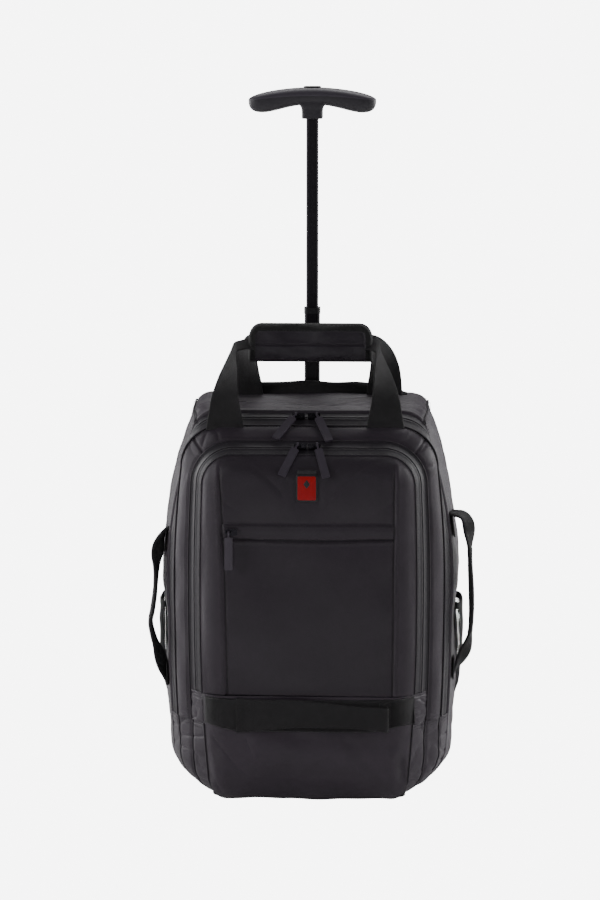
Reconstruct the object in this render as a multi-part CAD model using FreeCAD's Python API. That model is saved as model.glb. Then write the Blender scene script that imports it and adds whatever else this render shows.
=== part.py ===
import FreeCAD, Part
import math
import os

# Soft cabin-size rolling case on two rear wheels, with a one-pole telescopic T-handle.
#
# Frame: millimetres, +Z up, -Y towards the front of the case, floor at z = 0, origin under the middle of the
# overall box.  Depths are written as "t", the distance forward from the outside of the back panel.
#
# The shell is a stack of cross-sections from the back to the front.  Each fabric panel is a slice of that
# stack: a closed ring of wall thickness WALL between two depths, trimmed at its seams.  The main compartment
# opens along the zip at MAIN_DEPTH, as a lid that folds forward over LID_HINGE_Z.  The front compartment
# opens along the zip in the middle of POCKET_DEPTH, as a flap that folds over FLAP_HINGE_Z.

# ---------------------------------------------------------------- driving dimensions
CASE_TOP = 540.0            # top of the fabric body
CASE_HALF_WIDTH = 199.0     # widest half width of the body
FABRIC_FLOOR_GAP = 7.0      # fabric bottom above the floor
BACK_THICKNESS = 8.0        # padded back panel
MAIN_DEPTH = 133.0          # back to the middle of the main zip
ZIP_HALF = 13.0             # one half of the main zip band
LID_DEPTH = 35.0            # main zip to the front compartment
POCKET_DEPTH = 22.0         # front compartment gusset
FRONT_BULGE = 16.0          # crown of the front panel
WALL = 4.0                  # padded fabric wall
FRONT_WALL = 3.0            # front panel wall
MID_HEIGHT = 250.0          # height where the body is widest
TOP_SEAM_Z = CASE_TOP - 42.0
BOTTOM_SEAM_Z = 76.0
LID_HINGE_Z = 110.0
FLAP_HINGE_Z = 152.0
HINGE_AHEAD = 2.0           # hinge lines stand this far ahead of the front panel
BODY_GAP = 0.3              # half of the gap between two bodies along a zip or hinge line
CONTACT_GAP = 0.1           # gap between stitched pieces that follow a curved face

# telescopic pole: inner, middle and outer tube, each (width in X, depth in Y, corner radius, wall)
INNER_TUBE = (16.5, 14.0, 4.0, 1.0)
MIDDLE_TUBE = (21.0, 18.5, 5.0, 1.1)
OUTER_TUBE = (25.0, 22.5, 6.0, 1.2)
SLIDE_GAP = 0.2             # clearance of every sliding guide, each side
POLE_T = 24.0
MIDDLE_EXPOSED = 112.0      # middle tube above the bezel, pulled out
INNER_EXPOSED = 259.0       # inner tube above the middle tube's collar, pulled out
INNER_TRAVEL = 255.0
MIDDLE_TRAVEL = 103.0
TUBE_OVERLAP = 80.0         # inner tube still held inside the middle tube
COLLAR_HEIGHT = 8.0
GLIDE_HEIGHT = 15.0
FOOT_FLOOR = 4.0            # floor of the socket that holds the outer tube

# T-grip
GRIP_HALF_SPAN = 87.0
GRIP_HALF_DEPTH = 17.0
GRIP_HALF_HEIGHT = 11.5
GRIP_DROOP = 12.5           # how far the ends hang below the middle
GRIP_SPLIT_DROP = 1.0         # split line below the middle of the bar
STEM_SIZE = (28.6, 24.0)
STEM_HEIGHT = 20.0
BUTTON_SIZE = (24.0, 12.0)
BUTTON_TRAVEL = 3.5
BUTTON_GAP = 0.3
ROD_RADIUS = 2.0
PIN_RADIUS = 2.0

# wheels
WHEEL_RADIUS = 30.0
WHEEL_WIDTH = 22.0
WHEEL_INSET = 71.0          # wheel centre inside the widest half width
WHEEL_T = 24.0
WELL_GAP_SIDE = 2.5
WELL_GAP_ROUND = 4.0
HOUSING_WALL = 4.0
HOUSING_REAR_T = -2.0
HOUSING_FLOOR_Z = 10.0
AXLE_RADIUS = 4.0
AXLE_RUNNING_GAP = 0.08
HUB_RADIUS = 20.0

# base, board and feet
TRAY_THICKNESS = 3.0
TRAY_UPSTAND_TOP = 70.0
BOARD_THICKNESS = 3.0
FOOT_RADIUS = 12.0
FOOT_SPACING = 240.0
FOOT_T = 150.0

# webbing, straps and the wrap round the carry handle
WEBBING_WIDTH = 50.0
WEBBING_THICKNESS = 2.2
STRAP_HALF_SPACING_FRONT = 111.0
STRAP_HALF_SPACING_REAR = 95.0
REAR_STRAP_T = 52.0
WRAP_HALF_LENGTH = 83.0
WRAP_T = 97.0
WRAP_HALF_THICKNESS = 15.0
WRAP_BOTTOM_OVER_TOP = 52.0
WRAP_HEIGHT = 53.0
RUN_OFFSET = 5.0            # strap run from the middle of the wrap
FOLDED_WEBBING = (26.0, 3.0)
SIDE_HANDLE_BOTTOM_Z = 135.0
SIDE_HANDLE_TOP_Z = 365.0
SIDE_HANDLE_STANDOFF = 23.0
SIDE_HANDLE_WIDTH = 25.0
SIDE_HANDLE_THICKNESS = 4.0
SIDE_HANDLE_T = 104.0
POCKET_T = (14.0, 88.0)
POCKET_Z = (116.0, 256.0)
POCKET_BULGE = 13.0
MESH_THICKNESS = 1.5
BAND_THICKNESS = 2.0
GRAB_STANDOFF = 11.0
GRAB_THICKNESS = 3.5
GRAB_X = (-72.0, 112.0)
GRAB_Z = (114.0, 141.0)
PORT_FLAP_HALF_WIDTH = 130.0
PORT_FLAP_HEIGHT = 14.0
PORT_FLAP_THICKNESS = 5.0

# zip sliders and pulls
SLIDER_SIZE = (16.0, 9.0, 3.6)
SLIDER_LIFT = 0.6
BAR_HEIGHT = 7.1
BAR_RADIUS = 0.9
BRIDGE_OFFSET = 4.0
PULL_LENGTH = 51.0
PULL_WIDTH = 11.0
PULL_THICKNESS = 2.2
MAIN_SLIDERS_X = (-14.5, 5.5)
FRONT_SLIDERS_X = (-10.5, 7.5)
POCKET_SLIDER_X = -102.0
POCKET_ZIP_Z = 378.0
BADGE_SIZE = (27.0, 34.0, 2.2)
BADGE_X = -1.5
BADGE_Z = 438.0

# ---------------------------------------------------------------- derived places
T_ZIP_REAR = MAIN_DEPTH - ZIP_HALF
T_ZIP_FRONT = MAIN_DEPTH + ZIP_HALF
T_POCKET = MAIN_DEPTH + LID_DEPTH
T_PANEL = T_POCKET + POCKET_DEPTH
T_FRONT_ZIP = T_POCKET + POCKET_DEPTH / 2
T_FRONT = T_PANEL + FRONT_BULGE
T_HINGE = T_FRONT + HINGE_AHEAD
T_GRAB_FRONT = T_FRONT + BAND_THICKNESS + GRAB_STANDOFF
WHEEL_REAR_T = WHEEL_T - WHEEL_RADIUS
BACK_Y = (T_GRAB_FRONT + WHEEL_REAR_T) / 2   # puts the overall box's middle at y = 0

WHEEL_X = CASE_HALF_WIDTH - WHEEL_INSET
WELL_HALF = WHEEL_WIDTH / 2 + WELL_GAP_SIDE
HOUSING_HALF = WELL_HALF + HOUSING_WALL
WELL_RADIUS = WHEEL_RADIUS + WELL_GAP_ROUND
HOUSING_FRONT_T = WHEEL_T + WELL_RADIUS + HOUSING_WALL
HOUSING_TOP_Z = WHEEL_RADIUS + WELL_RADIUS + HOUSING_WALL
INSIDE_FLOOR_Z = FABRIC_FLOOR_GAP + WALL
TRAY_Z = INSIDE_FLOOR_Z + CONTACT_GAP
FOOT_Z = TRAY_Z + TRAY_THICKNESS
BEZEL_TOP = CASE_TOP + 5.0
BEZEL_FLANGE = 3.0
BEZEL_BOTTOM = CASE_TOP - 12.0
COLLAR_TOP = BEZEL_TOP + MIDDLE_EXPOSED
STEM_BOTTOM = COLLAR_TOP + INNER_EXPOSED
INNER_BOTTOM = COLLAR_TOP - TUBE_OVERLAP
MIDDLE_BOTTOM = INNER_BOTTOM - INNER_TRAVEL - GLIDE_HEIGHT - 5.0
GRIP_MIDDLE_Z = STEM_BOTTOM + STEM_HEIGHT + GRIP_HALF_HEIGHT
WRAP_BOTTOM = CASE_TOP + WRAP_BOTTOM_OVER_TOP
WRAP_TOP = WRAP_BOTTOM + WRAP_HEIGHT
WRAP_MIDDLE = (WRAP_BOTTOM + WRAP_TOP) / 2
BOARD_T = POLE_T + OUTER_TUBE[1] / 2 + 3.3

FAR = 2000.0


def section(t, side, drop, rise, low, shoulder, r_low, r_top):
    """One cross-section: how far its side, top and bottom stand inside the widest box, and its corners."""
    return dict(t=t, side=side, drop=drop, rise=rise, low=low, shoulder=shoulder, r_low=r_low, r_top=r_top)


SECTIONS = [
    section(0.0, 14, 14, 6, 6, 30, 52, 20),
    section(BACK_THICKNESS, 6, 5, 0, 6, 34, 56, 24),
    section(30.0, 1, 0, 0, 6, 36, 60, 25),
    section(90.0, 0, 3, 0, 6, 36, 60, 28),
    section(T_ZIP_REAR, 5, 10, 0, 6, 33, 60, 36),
    section(MAIN_DEPTH, 10, 19, 0, 6, 22, 60, 46),
    section(T_ZIP_FRONT, 16, 28, 0, 6, 10, 54, 56),
    section(T_POCKET, 36, 45, 0, 7, 4, 38, 60),
    section(T_PANEL, 53, 60, 4, 10, 3, 26, 42),
    section(T_PANEL + 0.75 * FRONT_BULGE, 66, 78, 18, 10, 3, 24, 38),
    section(T_FRONT, 84, 90, 36, 10, 3, 20, 30),
]


def y_of(t):
    """Y of a depth measured forward from the back."""
    return BACK_Y - t


def section_at(t):
    """The cross-section at any depth, in line between its neighbours."""
    for a, b in zip(SECTIONS, SECTIONS[1:]):
        if a["t"] <= t <= b["t"]:
            share = (t - a["t"]) / (b["t"] - a["t"])
            return {k: a[k] + share * (b[k] - a[k]) for k in a}
    raise ValueError("no section at depth %s" % t)


def top_z(t):
    """Height of the body's top at a depth."""
    return CASE_TOP - section_at(t)["drop"]


def slope_deg(t):
    """Downward slope of the body's top at a depth, in degrees."""
    return math.degrees(math.atan2(top_z(t - 1) - top_z(t + 1), 2.0))


def arc(p, q, r):
    """Edge on the circle through three points."""
    return Part.Arc(p, q, r).toShape()


def line(p, q):
    """Straight edge."""
    return Part.LineSegment(p, q).toShape()


def outline(s, inset=0.0, t=None):
    """Closed wire of a cross-section, moved inwards by inset, at the section's depth or another one."""
    y = y_of(s["t"] if t is None else t)
    half = CASE_HALF_WIDTH - s["side"] - inset
    low = half - s["low"]
    shoulder = half - s["shoulder"]
    bottom = FABRIC_FLOOR_GAP + s["rise"] + inset
    top = CASE_TOP - s["drop"] - inset
    r_low = s["r_low"] - inset
    r_top = s["r_top"] - inset
    z_low = bottom + r_low
    z_shoulder = top - r_top
    diagonal = math.sqrt(0.5)

    def right(sign):
        """The five edges up one side, as point triples."""
        points = [
            [(low - r_low, bottom), (low - r_low + r_low * diagonal, z_low - r_low * diagonal), (low, z_low)],
            [(low, z_low), (half - 0.25 * (half - low), (z_low + MID_HEIGHT) / 2), (half, MID_HEIGHT)],
            [
                (half, MID_HEIGHT),
                (half - 0.31 * (half - shoulder), MID_HEIGHT + 0.66 * (z_shoulder - MID_HEIGHT)),
                (shoulder, z_shoulder),
            ],
            [
                (shoulder, z_shoulder),
                (shoulder - r_top + r_top * diagonal, z_shoulder + r_top * diagonal),
                (shoulder - r_top, top),
            ],
        ]
        return [[FreeCAD.Vector(sign * x, y, z) for x, z in triple] for triple in points]

    up = [arc(*triple) for triple in right(1)]
    down = [arc(*reversed(triple)) for triple in reversed(right(-1))]
    top_edge = line(FreeCAD.Vector(shoulder - r_top, y, top), FreeCAD.Vector(r_top - shoulder, y, top))
    bottom_edge = line(FreeCAD.Vector(r_low - low, y, bottom), FreeCAD.Vector(low - r_low, y, bottom))
    return Part.Wire([bottom_edge] + up + [top_edge] + down)


def sections_between(t0, t1):
    """The cross-sections from t0 to t1, with one at each end."""
    inside = [s for s in SECTIONS if t0 + 0.01 < s["t"] < t1 - 0.01]
    return [section_at(t0)] + inside + [section_at(t1)]


def stack(t0, t1, inset=0.0, front_shift=0.0):
    """Solid of the body between two depths.  front_shift pulls the crowned front back by a wall thickness."""
    wires = []
    for s in sections_between(t0, t1):
        shift = front_shift if s["t"] > T_PANEL + 0.01 else 0.0
        wires.append(outline(s, inset, s["t"] - shift))
    return Part.makeLoft(wires, True, True)


def ring(t0, t1):
    """Fabric wall between two depths."""
    return stack(t0, t1).cut(stack(t0, t1, WALL))


def front_shell(t0):
    """Fabric wall from a depth to the front, closed by the crowned front panel."""
    return stack(t0, T_FRONT).cut(stack(t0, T_FRONT, WALL, FRONT_WALL))


def block(x0, x1, t0, t1, z0, z1):
    """Box between two x, two depths and two heights."""
    corner = FreeCAD.Vector(x0, y_of(t1), z0)
    return Part.makeBox(x1 - x0, t1 - t0, z1 - z0, corner)


def above(z):
    """Everything above a height."""
    return block(-FAR, FAR, -FAR, FAR, z, FAR)


def below(z):
    """Everything below a height."""
    return block(-FAR, FAR, -FAR, FAR, -FAR, z)


def between(z0, z1):
    """Everything between two heights."""
    return block(-FAR, FAR, -FAR, FAR, z0, z1)


def mirrored(shape):
    """The same shape on the other side."""
    return shape.mirror(FreeCAD.Vector(0, 0, 0), FreeCAD.Vector(1, 0, 0))


def cylinder_x(radius, x0, x1, t, z):
    """Cylinder along X."""
    base = FreeCAD.Vector(x0, y_of(t), z)
    return Part.makeCylinder(radius, x1 - x0, base, FreeCAD.Vector(1, 0, 0))


def cylinder_z(radius, x, t, z0, z1):
    """Cylinder along Z."""
    base = FreeCAD.Vector(x, y_of(t), z0)
    return Part.makeCylinder(radius, z1 - z0, base, FreeCAD.Vector(0, 0, 1))


def cylinder_y(radius, x, t0, t1, z):
    """Cylinder along Y between two depths."""
    base = FreeCAD.Vector(x, y_of(t1), z)
    return Part.makeCylinder(radius, t1 - t0, base, FreeCAD.Vector(0, 1, 0))


def rounded_bar(width, depth, radius, t, z0, z1):
    """Upright bar of rounded rectangular section, centred on x = 0."""
    bar = block(-width / 2, width / 2, t - depth / 2, t + depth / 2, z0, z1)
    upright = [e for e in bar.Edges if abs(e.tangentAt(e.FirstParameter).z) > 0.9]
    return bar.makeFillet(radius, upright)


def tube(size, t, z0, z1):
    """Upright tube of a (width, depth, corner radius, wall) size."""
    width, depth, radius, wall = size
    outside = rounded_bar(width, depth, radius, t, z0, z1)
    inside = rounded_bar(width - 2 * wall, depth - 2 * wall, radius - wall, t, z0, z1)
    return outside.cut(inside)


def polygon_xz(points, t0, t1):
    """Prism of an XZ polygon between two depths."""
    wire = Part.makePolygon([FreeCAD.Vector(x, y_of(t1), z) for x, z in points + points[:1]])
    return Part.Face(wire).extrude(FreeCAD.Vector(0, t1 - t0, 0))


# ---------------------------------------------------------------- fabric body
def housing_space(gap):
    """Box kept free for one wheel housing, right side."""
    return block(
        WHEEL_X - HOUSING_HALF - gap, WHEEL_X + HOUSING_HALF + gap,
        HOUSING_REAR_T - 10, HOUSING_FRONT_T + gap, -1.0, HOUSING_TOP_Z + gap,
    )


def without_housings(shape, gap=BODY_GAP):
    """A shape with both housing spaces removed."""
    space = housing_space(gap)
    return shape.cut(space).cut(mirrored(space))


def body_panels():
    """Back panel, gussets and the fixed lower front."""
    rear = ring(BACK_THICKNESS, T_ZIP_REAR)
    sides = rear.common(between(BOTTOM_SEAM_Z, TOP_SEAM_Z))
    skirt = bezel_skirt(CONTACT_GAP)
    flange = bezel_flange(CONTACT_GAP)
    top = rear.common(above(TOP_SEAM_Z)).cut(skirt).cut(flange)
    return {
        "back_panel": without_housings(stack(0.0, BACK_THICKNESS)),
        "top_gusset": top,
        "side_gusset_left": sides.common(block(-FAR, 0, -FAR, FAR, 0, FAR)),
        "side_gusset_right": sides.common(block(0, FAR, -FAR, FAR, 0, FAR)),
        "bottom_gusset": without_housings(rear.common(below(BOTTOM_SEAM_Z))),
        "lower_front_panel": front_shell(T_ZIP_REAR).common(below(LID_HINGE_Z - BODY_GAP)),
        "main_zip_tape_case": ring(T_ZIP_REAR, MAIN_DEPTH - BODY_GAP).common(above(LID_HINGE_Z - BODY_GAP)),
    }


def lid_panels():
    """Everything sewn to the lid of the main compartment."""
    over_hinge = above(LID_HINGE_Z + BODY_GAP)
    apron = between(LID_HINGE_Z + BODY_GAP, FLAP_HINGE_Z - BODY_GAP)
    pocket_back = outline(section_at(T_POCKET), WALL + CONTACT_GAP, T_POCKET)
    divider = Part.Face(pocket_back).extrude(FreeCAD.Vector(0, FRONT_WALL, 0))
    return {
        "main_zip_tape_lid": ring(MAIN_DEPTH + BODY_GAP, T_ZIP_FRONT).common(over_hinge),
        "lid_gusset": ring(T_ZIP_FRONT, T_POCKET).common(over_hinge),
        "divider_panel": divider.common(over_hinge),
        "apron_panel": front_shell(T_POCKET).common(apron),
        "front_zip_tape_lid": ring(T_POCKET, T_FRONT_ZIP - BODY_GAP).common(above(FLAP_HINGE_Z - BODY_GAP)),
        "lower_grab_handle": grab_handle(),
    }


def flap_panels():
    """The flap of the front compartment and its badge."""
    over_hinge = above(FLAP_HINGE_Z + BODY_GAP)
    badge = block(
        BADGE_X - BADGE_SIZE[0] / 2, BADGE_X + BADGE_SIZE[0] / 2,
        T_FRONT + CONTACT_GAP, T_FRONT + CONTACT_GAP + BADGE_SIZE[2],
        BADGE_Z - BADGE_SIZE[1] / 2, BADGE_Z + BADGE_SIZE[1] / 2,
    )
    across = [e for e in badge.Edges if abs(e.tangentAt(e.FirstParameter).y) > 0.9]
    return {
        "front_zip_tape_flap": ring(T_FRONT_ZIP + BODY_GAP, T_PANEL).common(over_hinge),
        "front_panel": front_shell(T_PANEL).common(over_hinge),
        "badge": badge.makeFillet(3.0, across),
    }


def grab_handle():
    """Flat band across the lower front with a grab loop that stands off it."""
    z0, z1 = GRAB_Z
    outside = stack(T_PANEL, T_FRONT, -CONTACT_GAP - BAND_THICKNESS, -CONTACT_GAP - BAND_THICKNESS)
    inside = stack(T_PANEL, T_FRONT, -CONTACT_GAP, -CONTACT_GAP)
    band = outside.cut(inside).common(between(LID_HINGE_Z + 3, FLAP_HINGE_Z - 2))
    band = band.common(block(-FAR, FAR, T_PANEL + 1, FAR, 0, FAR))
    foot_t = T_FRONT + CONTACT_GAP + BAND_THICKNESS
    x0, x1 = GRAB_X
    peak = foot_t + GRAB_STANDOFF - CONTACT_GAP
    path = [(x0, foot_t), (x0 + 18, foot_t + 1), (x0 + 60, peak - 2), (x1 - 40, peak), (x1, peak - 1)]
    outer_edge = [FreeCAD.Vector(x, y_of(t), z0) for x, t in path]
    inner_path = [(x1, peak - 1 - GRAB_THICKNESS), (x1 - 40, peak - GRAB_THICKNESS)]
    inner_path += [(x0 + 62, peak - 2 - GRAB_THICKNESS), (x0 + 26, foot_t)]
    inner_edge = [FreeCAD.Vector(x, y_of(t), z0) for x, t in inner_path]
    profile = Part.makePolygon(outer_edge + inner_edge + outer_edge[:1])
    loop = Part.Face(profile).extrude(FreeCAD.Vector(0, 0, z1 - z0))
    return_leg = block(x1 - GRAB_THICKNESS, x1, foot_t, peak - 1, z0, z1)
    return band.fuse([loop, return_leg]).removeSplitter()


# ---------------------------------------------------------------- base, wheels, feet
def wheel_housing():
    """Moulded corner housing with the wheel well, right side."""
    x0, x1 = WHEEL_X - HOUSING_HALF, WHEEL_X + HOUSING_HALF
    body = block(x0, x1, HOUSING_REAR_T, HOUSING_FRONT_T, HOUSING_FLOOR_Z, HOUSING_TOP_Z)
    rear_edges = [
        e for e in body.Edges
        if all(abs(v.Y - y_of(HOUSING_REAR_T)) < 0.01 for v in e.Vertexes)
    ]
    body = body.makeFillet(3.0, rear_edges)
    well = cylinder_x(WELL_RADIUS, WHEEL_X - WELL_HALF, WHEEL_X + WELL_HALF, WHEEL_T, WHEEL_RADIUS)
    mouth = block(
        WHEEL_X - WELL_HALF, WHEEL_X + WELL_HALF,
        WHEEL_T - WELL_RADIUS, WHEEL_T + WELL_RADIUS, 0, WHEEL_RADIUS,
    )
    bores = cylinder_x(AXLE_RADIUS, x0 - 1, x1 + 1, WHEEL_T, WHEEL_RADIUS)
    shape = body.cut(well.fuse(mouth)).cut(bores)
    for x in housing_screw_xs():
        end_t = HOUSING_REAR_T + SCREW_LENGTH
        shape = shape.cut(cylinder_y(SCREW_RADIUS, x, HOUSING_REAR_T - 1, end_t, SCREW_Z))
    return shape


SCREW_RADIUS = 2.0
SCREW_HEAD_RADIUS = 3.5
SCREW_HEAD = 1.8
SCREW_LENGTH = 9.0
SCREW_Z = HOUSING_TOP_Z - 7.0
FOOT_EAR = (28.0, 4.0)
FOOT_SCREW_X = 22.5


def housing_screw_xs():
    """The two rear screws of the right housing."""
    return (WHEEL_X - HOUSING_HALF + 6.0, WHEEL_X + HOUSING_HALF - 6.0)


def wheel_tyre():
    """Soft tread ring, right side."""
    x0, x1 = WHEEL_X - WHEEL_WIDTH / 2, WHEEL_X + WHEEL_WIDTH / 2
    outside = cylinder_x(WHEEL_RADIUS, x0, x1, WHEEL_T, WHEEL_RADIUS)
    outside = outside.makeFillet(3.5, [e for e in outside.Edges if e.Length > WHEEL_RADIUS * 3])
    return outside.cut(cylinder_x(HUB_RADIUS, x0 - 1, x1 + 1, WHEEL_T, WHEEL_RADIUS))


def wheel_hub():
    """Moulded hub with an annular recess on each face, right side."""
    x0, x1 = WHEEL_X - WHEEL_WIDTH / 2, WHEEL_X + WHEEL_WIDTH / 2
    bore = cylinder_x(AXLE_RADIUS + AXLE_RUNNING_GAP, x0 - 1, x1 + 1, WHEEL_T, WHEEL_RADIUS)
    hub = cylinder_x(HUB_RADIUS, x0, x1, WHEEL_T, WHEEL_RADIUS).cut(bore)
    recess_depth = 7.0
    for a, b in ((x0 - 1, x0 + recess_depth), (x1 - recess_depth, x1 + 1)):
        groove = cylinder_x(HUB_RADIUS - 3, a, b, WHEEL_T, WHEEL_RADIUS)
        groove = groove.cut(cylinder_x(AXLE_RADIUS + 4, a, b, WHEEL_T, WHEEL_RADIUS))
        hub = hub.cut(groove)
    return hub


def wheel_axle():
    """Headed steel pin through the housing, right side."""
    x0, x1 = WHEEL_X - HOUSING_HALF, WHEEL_X + HOUSING_HALF
    pin = cylinder_x(AXLE_RADIUS, x0, x1, WHEEL_T, WHEEL_RADIUS)
    head = cylinder_x(AXLE_RADIUS + 2, x0 - 1.5, x0, WHEEL_T, WHEEL_RADIUS)
    return pin.fuse(head).removeSplitter()


def base_parts():
    """Tray, housings, wheels, feet, pole foot and their screws."""
    flat_half = CASE_HALF_WIDTH - SECTIONS[3]["low"] - SECTIONS[3]["r_low"] - 3.0
    tray = block(-flat_half, flat_half, BACK_THICKNESS + CONTACT_GAP, FOOT_T, TRAY_Z, FOOT_Z)
    upstand_half = WHEEL_X - HOUSING_HALF - 1.0
    upstand = block(
        -upstand_half, upstand_half,
        BACK_THICKNESS + CONTACT_GAP, BACK_THICKNESS + CONTACT_GAP + TRAY_THICKNESS,
        TRAY_Z, TRAY_UPSTAND_TOP,
    )
    tray = without_housings(tray.fuse(upstand).removeSplitter())
    tray = tray.common(stack(0, T_FRONT, WALL + 2 * CONTACT_GAP))
    foot = block(-16.5, 16.5, POLE_T - 12.7, POLE_T + 14, FOOT_Z, FOOT_Z + 36)
    ears = block(-FOOT_EAR[0], FOOT_EAR[0], POLE_T - 8, POLE_T + 8, FOOT_Z, FOOT_Z + FOOT_EAR[1])
    socket = rounded_bar(*OUTER_TUBE[:3], POLE_T, FOOT_Z + FOOT_FLOOR, FOOT_Z + 40)
    foot = foot.fuse(ears).removeSplitter().cut(socket)
    screws = []
    for x in (-FOOT_SCREW_X, FOOT_SCREW_X):
        hole = cylinder_z(SCREW_RADIUS, x, POLE_T, TRAY_Z, FOOT_Z + FOOT_EAR[1])
        head_z = FOOT_Z + FOOT_EAR[1]
        head = cylinder_z(SCREW_HEAD_RADIUS, x, POLE_T, head_z, head_z + SCREW_HEAD)
        tray = tray.cut(hole)
        foot = foot.cut(hole)
        screws.append(hole.fuse(head).removeSplitter())
    for x in housing_screw_xs():
        shank = cylinder_y(SCREW_RADIUS, x, HOUSING_REAR_T, HOUSING_REAR_T + SCREW_LENGTH, SCREW_Z)
        head = cylinder_y(SCREW_HEAD_RADIUS, x, HOUSING_REAR_T - SCREW_HEAD, HOUSING_REAR_T, SCREW_Z)
        screw = shank.fuse(head).removeSplitter()
        screws += [screw, mirrored(screw)]
    glide = cylinder_z(FOOT_RADIUS, FOOT_SPACING / 2, FOOT_T, 0, FABRIC_FLOOR_GAP)
    glide = glide.makeChamfer(1.0, [e for e in glide.Edges if e.BoundBox.ZMax < 0.01])
    board = Part.Face(outline(section_at(BOARD_T), WALL + 2, BOARD_T + BOARD_THICKNESS))
    board = board.extrude(FreeCAD.Vector(0, BOARD_THICKNESS, 0)).common(above(HOUSING_TOP_Z + 6))
    axle = wheel_axle()
    housing = wheel_housing()
    tyre = wheel_tyre()
    hub = wheel_hub()
    return {
        "base_tray": tray,
        "tube_foot": foot,
        "base_screws": Part.makeCompound(screws),
        "front_feet": Part.makeCompound([glide, mirrored(glide)]),
        "back_board": board,
        "wheel_axles": Part.makeCompound([axle, mirrored(axle)]),
        "wheel_housing_right": housing,
        "wheel_housing_left": mirrored(housing),
        "wheel_tyre_right": tyre,
        "wheel_tyre_left": mirrored(tyre),
        "wheel_hub_right": hub,
        "wheel_hub_left": mirrored(hub),
    }


# ---------------------------------------------------------------- telescopic pole
def guide_hole(size, z0, z1):
    """Hole that guides a tube with sliding clearance."""
    gap = 2 * SLIDE_GAP
    return rounded_bar(size[0] + gap, size[1] + gap, size[2] + SLIDE_GAP, POLE_T, z0, z1)


def bezel_skirt(gap=0.0):
    """Neck of the pole bezel, down to the outer tube's end."""
    return rounded_bar(28.4 + 2 * gap, 25.4 + 2 * gap, 5.0, POLE_T, BEZEL_BOTTOM - gap, BEZEL_TOP)


def bezel_flange(gap=0.0):
    """Flange of the pole bezel on top of the body."""
    z0 = BEZEL_TOP - BEZEL_FLANGE - gap
    return rounded_bar(40.0 + 2 * gap, 31.0 + 2 * gap, 8.0, POLE_T, z0, BEZEL_TOP)


def pole_parts():
    """Outer, middle and inner tube with their guides."""
    bezel = bezel_flange().fuse(bezel_skirt()).removeSplitter()
    bezel = bezel.cut(guide_hole(MIDDLE_TUBE, BEZEL_BOTTOM - 1, BEZEL_TOP + 1))
    collar = rounded_bar(22.4, 19.9, 5.5, POLE_T, COLLAR_TOP - COLLAR_HEIGHT, COLLAR_TOP)
    collar = collar.cut(guide_hole(INNER_TUBE, COLLAR_TOP - COLLAR_HEIGHT - 1, COLLAR_TOP + 1))
    outer_inside = [OUTER_TUBE[i] - 2 * OUTER_TUBE[3] - 2 * SLIDE_GAP for i in (0, 1)]
    middle_glide = rounded_bar(*outer_inside, 4.4, POLE_T, MIDDLE_BOTTOM, MIDDLE_BOTTOM + GLIDE_HEIGHT)
    middle_inside = [MIDDLE_TUBE[i] - 2 * MIDDLE_TUBE[3] - 2 * SLIDE_GAP for i in (0, 1)]
    inner_glide = rounded_bar(*middle_inside, 3.4, POLE_T, INNER_BOTTOM, INNER_BOTTOM + GLIDE_HEIGHT)
    pin_z = INNER_BOTTOM + 3.5
    pin_rear_t = POLE_T + 2.6
    pin_front_t = POLE_T + middle_inside[1] / 2 - 0.2
    pin = cylinder_y(PIN_RADIUS, 0, pin_rear_t, pin_front_t, pin_z)
    pin_bore = cylinder_y(PIN_RADIUS + 0.1, 0, POLE_T - 2, POLE_T + 20, pin_z)
    bore_bottom = pin_z + PIN_RADIUS + 0.5
    rod_bore = cylinder_z(ROD_RADIUS + 0.3, 0, POLE_T, bore_bottom, INNER_BOTTOM + GLIDE_HEIGHT + 1)
    inner_glide = inner_glide.cut(pin_bore).cut(rod_bore)
    return {
        "outer_tube": tube(OUTER_TUBE, POLE_T, FOOT_Z + FOOT_FLOOR, BEZEL_BOTTOM),
        "outer_tube_bezel": bezel,
        "middle_tube": tube(MIDDLE_TUBE, POLE_T, MIDDLE_BOTTOM + GLIDE_HEIGHT, COLLAR_TOP - COLLAR_HEIGHT),
        "middle_tube_collar": collar,
        "middle_tube_glide": middle_glide,
        "inner_tube": tube(INNER_TUBE, POLE_T, INNER_BOTTOM + GLIDE_HEIGHT, STEM_BOTTOM + STEM_HEIGHT - 4),
        "inner_tube_glide": inner_glide,
        "lock_pin": pin,
    }


def stadium(width, depth, z0, z1):
    """Upright prism with two round ends, centred on the pole."""
    return rounded_bar(width, depth, depth / 2 - 0.01, POLE_T, z0, z1)


def grip_bar():
    """Arched bar of the T-grip: oval sections that shrink into round ends."""
    wires = []
    half = ((0, 1), (0.6, 1), (0.9, 0.9), (0.97, 0.66), (1, 0.3))
    for share, size in [(-share, size) for share, size in half[:0:-1]] + list(half):
        x = share * GRIP_HALF_SPAN
        z = GRIP_MIDDLE_Z - GRIP_DROOP * share * share
        centre = FreeCAD.Vector(x, y_of(POLE_T), z)
        oval = Part.Ellipse(centre, GRIP_HALF_DEPTH * size, GRIP_HALF_HEIGHT * size)
        edge = oval.toShape()
        edge.rotate(centre, FreeCAD.Vector(0, 0, 1), 90)
        edge.rotate(centre, FreeCAD.Vector(0, 1, 0), 90)
        wires.append(Part.Wire([edge]))
    return Part.makeLoft(wires, True, False)


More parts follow.
